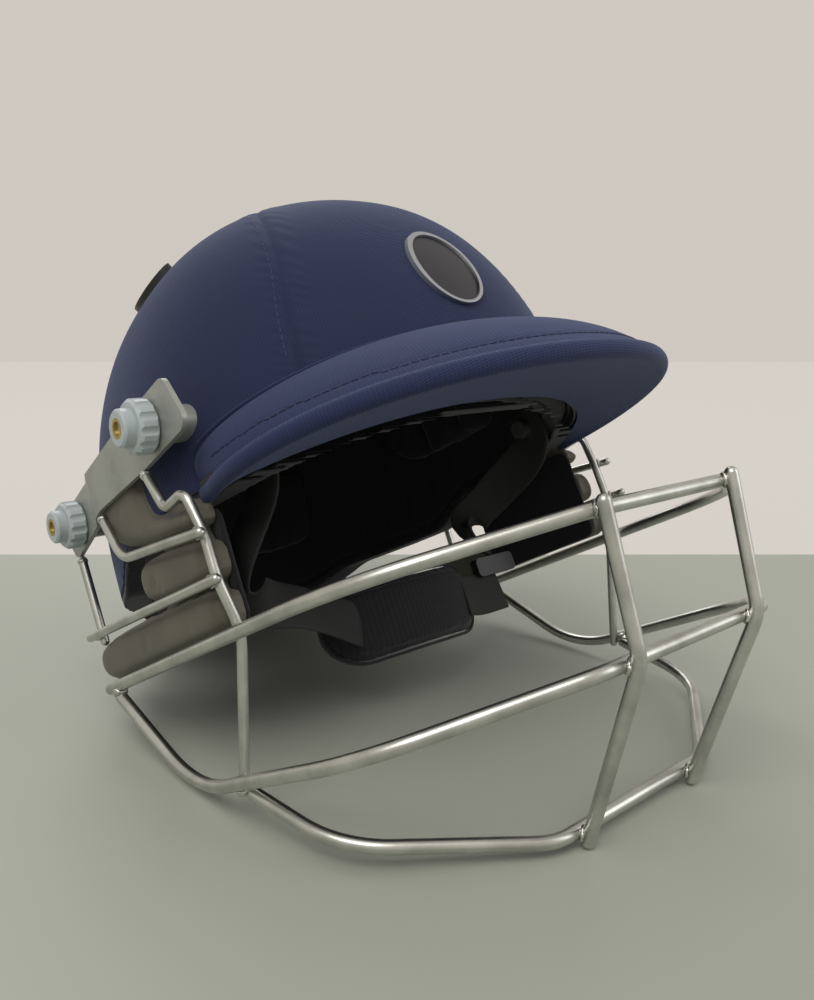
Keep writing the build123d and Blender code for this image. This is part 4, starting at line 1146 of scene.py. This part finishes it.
def smooth_path(places, per_run=14):
    """Curve through places, with the runs between them rounded."""
    p = [np.array(q, float) for q in places]
    p = [2 * p[0] - p[1], *p, 2 * p[-1] - p[-2]]
    out = []
    for k in range(1, len(p) - 2):
        a, b, c, d = p[k - 1:k + 3]
        for t in np.linspace(0, 1, per_run, endpoint=False):
            out.append(0.5 * (2 * b + (c - a) * t + (2 * a - 5 * b + 4 * c - d) * t**2
                              + (3 * b - a - 3 * c + d) * t**3))
    out.append(p[-2])
    return np.array(out)


def webbing(name, places, faces, nodes):
    """Flat woven strap along places, its face turned towards given directions, with rolled edges."""
    line = smooth_path(places)
    looks = smooth_path(faces)
    half, deep = WEB_WIDTH / 2, WEB_DEPTH / 2
    outline = []
    for t in np.linspace(0, 2 * math.pi, WEB_SIDES, endpoint=False):
        c, s = math.cos(t), math.sin(t)
        across = math.copysign(abs(c) ** WEB_POWERS[0], c) * half
        outline.append((across, math.copysign(abs(s) ** WEB_POWERS[1], s) * deep))
    points, uvs = [], []
    along = 0.0
    for k, p in enumerate(line):
        tangent = line[min(k + 1, len(line) - 1)] - line[max(k - 1, 0)]
        tangent = tangent / np.linalg.norm(tangent)
        face = looks[k] - tangent * (looks[k] @ tangent)
        face /= np.linalg.norm(face)
        side = np.cross(tangent, face)
        if k:
            along += np.linalg.norm(p - line[k - 1])
        for a, b in outline:
            points.append(p + side * a + face * b)
            uvs.append((a / 1000, along / 1000))
    count = len(outline)
    rings = grid_faces(len(line), count, False, True)
    rings.append(tuple(reversed(range(count))))
    rings.append(tuple((len(line) - 1) * count + n for n in range(count)))
    new_piece(name, mesh_from(name, stood(points), rings, uvs), STRAP, "webbing", nodes)


class HELMET_OT_chin_strap(bpy.types.Operator):
    """Builds the webbing, the padded chin cup with its bound edge, and the slider"""

    bl_idname = "helmet.chin_strap"
    bl_label = "Chin strap"

    def execute(self, context):
        side, turn, chin = (1.0, 0.0, 0.0), (0.5, -0.75, 0.45), (0.0, -1.0, 0.15)
        band, rise = (-0.45, -0.9, 0.1), (0.8, 0.1, 0.6)
        tab = ((76, 57, 171), (76, 57, 153))
        cup_end = (31.0, 87.0, 94.5)
        right = (*tab, (88, 77, 120), (60, 78, 106), cup_end)
        right, faces = ([(-x, y, z) for x, y, z in run] for run in (right, (side, side, side, turn, chin)))
        webbing("strap_web_right", right, faces, ("strap_right",))
        upper = (*tab, (74, 88, 140), (64, 103, 129), (57.5, 89, 109.5))
        webbing("strap_web_upper", upper, (side, side, rise, rise, turn), ("strap_left_upper",))
        lower = (cup_end, (42, 89, 93), (57, 89, 93))
        webbing("strap_web_lower", lower, (chin, band, band), ("strap_left_lower",))
        soft_piece("chin_cup", "chin_cushion", STRAP, "lining cloth", 0.0013, 6, 0.0012)
        soft_piece("chin_cup_binding", "chin_cup_edge", STRAP, "binding cloth", 0.0006, 3)
        give(["strap_slider"], "black plastic")
        return {"FINISHED"}


class HELMET_OT_stage(bpy.types.Operator):
    """Sets the pale floor, soft studio light and the camera"""

    bl_idname = "helmet.stage"
    bl_label = "Stage"

    def execute(self, context):
        scene = context.scene
        scene.view_settings.view_transform = "Standard"
        self.floor()
        self.camera()
        for lamp in LIGHTS:
            self.light(*lamp)
        world = bpy.data.worlds.new("studio")
        scene.world = world
        world.use_nodes = True
        tree = world.node_tree
        back = tree.nodes["Background"]
        seen = tree.nodes.new("ShaderNodeLightPath")
        either = math_node(tree, "ADD", seen.outputs["Is Camera Ray"], seen.outputs["Is Glossy Ray"], True)
        either = math_node(tree, "ADD", either, seen.outputs["Is Transmission Ray"], True)
        tone = mix_colour(tree, either, STUDIO_TONE, SHEET_TONE)
        tree.links.new(tone, back.inputs["Color"])
        back.inputs["Strength"].default_value = 1.0
        return {"FINISHED"}

    def floor(self):
        """The pale table up to a line behind the helmet, and an even pale sheet beyond it."""
        ahead = np.array([math.sin(CAMERA_TURN), math.cos(CAMERA_TURN)])
        aside = np.array([ahead[1], -ahead[0]]) * FLOOR_REACH
        near, line, far = (ahead * reach for reach in (-FLOOR_REACH, FLOOR_LINE, FLOOR_REACH))
        for name, start, end, glows in (("table_top", near, line, False), ("pale_sheet", line, far, True)):
            corners = [start - aside, start + aside, end + aside, end - aside]
            mesh = mesh_from(name, [(x, y, 0) for x, y in corners], [(0, 1, 2, 3)])
            plane = linked(name, mesh)
            plane.location.z = -FLOOR_GAP
            material = bpy.data.materials.new(name)
            material.use_nodes = True
            shader = material.node_tree.nodes["Principled BSDF"]
            shader.inputs["Base Color"].default_value = (0.02, 0.02, 0.02, 1) if glows else TABLE_TONE
            shader.inputs["Emission Color"].default_value = SHEET_TONE
            shader.inputs["Emission Strength"].default_value = 1.0 if glows else 0.0
            shader.inputs["Roughness"].default_value = 1.0 if glows else 0.6
            mesh.materials.append(material)

    def camera(self):
        data = bpy.data.cameras.new("photo_camera")
        data.sensor_width = 36.0
        data.lens = CAMERA_LENS * data.sensor_width
        data.sensor_fit = "HORIZONTAL"
        data.clip_start = 0.01
        camera = linked("photo_camera", data)
        camera.location = Vector(stood([CAMERA_PLACE])[0])
        camera.rotation_euler = (math.pi / 2 - CAMERA_DIP, 0, -CAMERA_TURN)
        bpy.context.scene.camera = camera

    def light(self, name, place, size, power, colour):
        data = bpy.data.lights.new(name, "AREA")
        data.shape = "SQUARE"
        data.size = size
        data.energy = power
        data.color = colour
        lamp = linked(name, data)
        lamp.location = place
        aim = Vector((0, 0, 0.1)) - Vector(place)
        lamp.rotation_euler = aim.to_track_quat("-Z", "Y").to_euler()


STEPS = (HELMET_OT_finishes, HELMET_OT_shell_cloth, HELMET_OT_peak, HELMET_OT_padding, HELMET_OT_ear_pads,
         HELMET_OT_guard, HELMET_OT_thumb_nuts, HELMET_OT_chin_strap, HELMET_OT_stage)


class HELMET_PT_looks(bpy.types.Panel):
    """Lists the helmet's looks and the steps that build them"""

    bl_idname = "HELMET_PT_looks"
    bl_label = "Helmet looks"
    bl_space_type = "VIEW_3D"
    bl_region_type = "UI"
    bl_category = "Helmet"

    def draw(self, context):
        column = self.layout.column()
        for name in HelmetLook.__annotations__:
            column.prop(context.scene.helmet_look, name)
        for step in STEPS:
            column.operator(step.bl_idname)


CLASSES = (HelmetLook, *STEPS, HELMET_PT_looks)


def register():
    for cls in CLASSES:
        bpy.utils.register_class(cls)
    bpy.types.Scene.helmet_look = PointerProperty(type=HelmetLook)


def unregister():
    del bpy.types.Scene.helmet_look
    for cls in reversed(CLASSES):
        bpy.utils.unregister_class(cls)


def main():
    register()
    for step in STEPS:
        group, name = step.bl_idname.split(".")
        getattr(getattr(bpy.ops, group), name)()


if __name__ == "__main__":
    main()
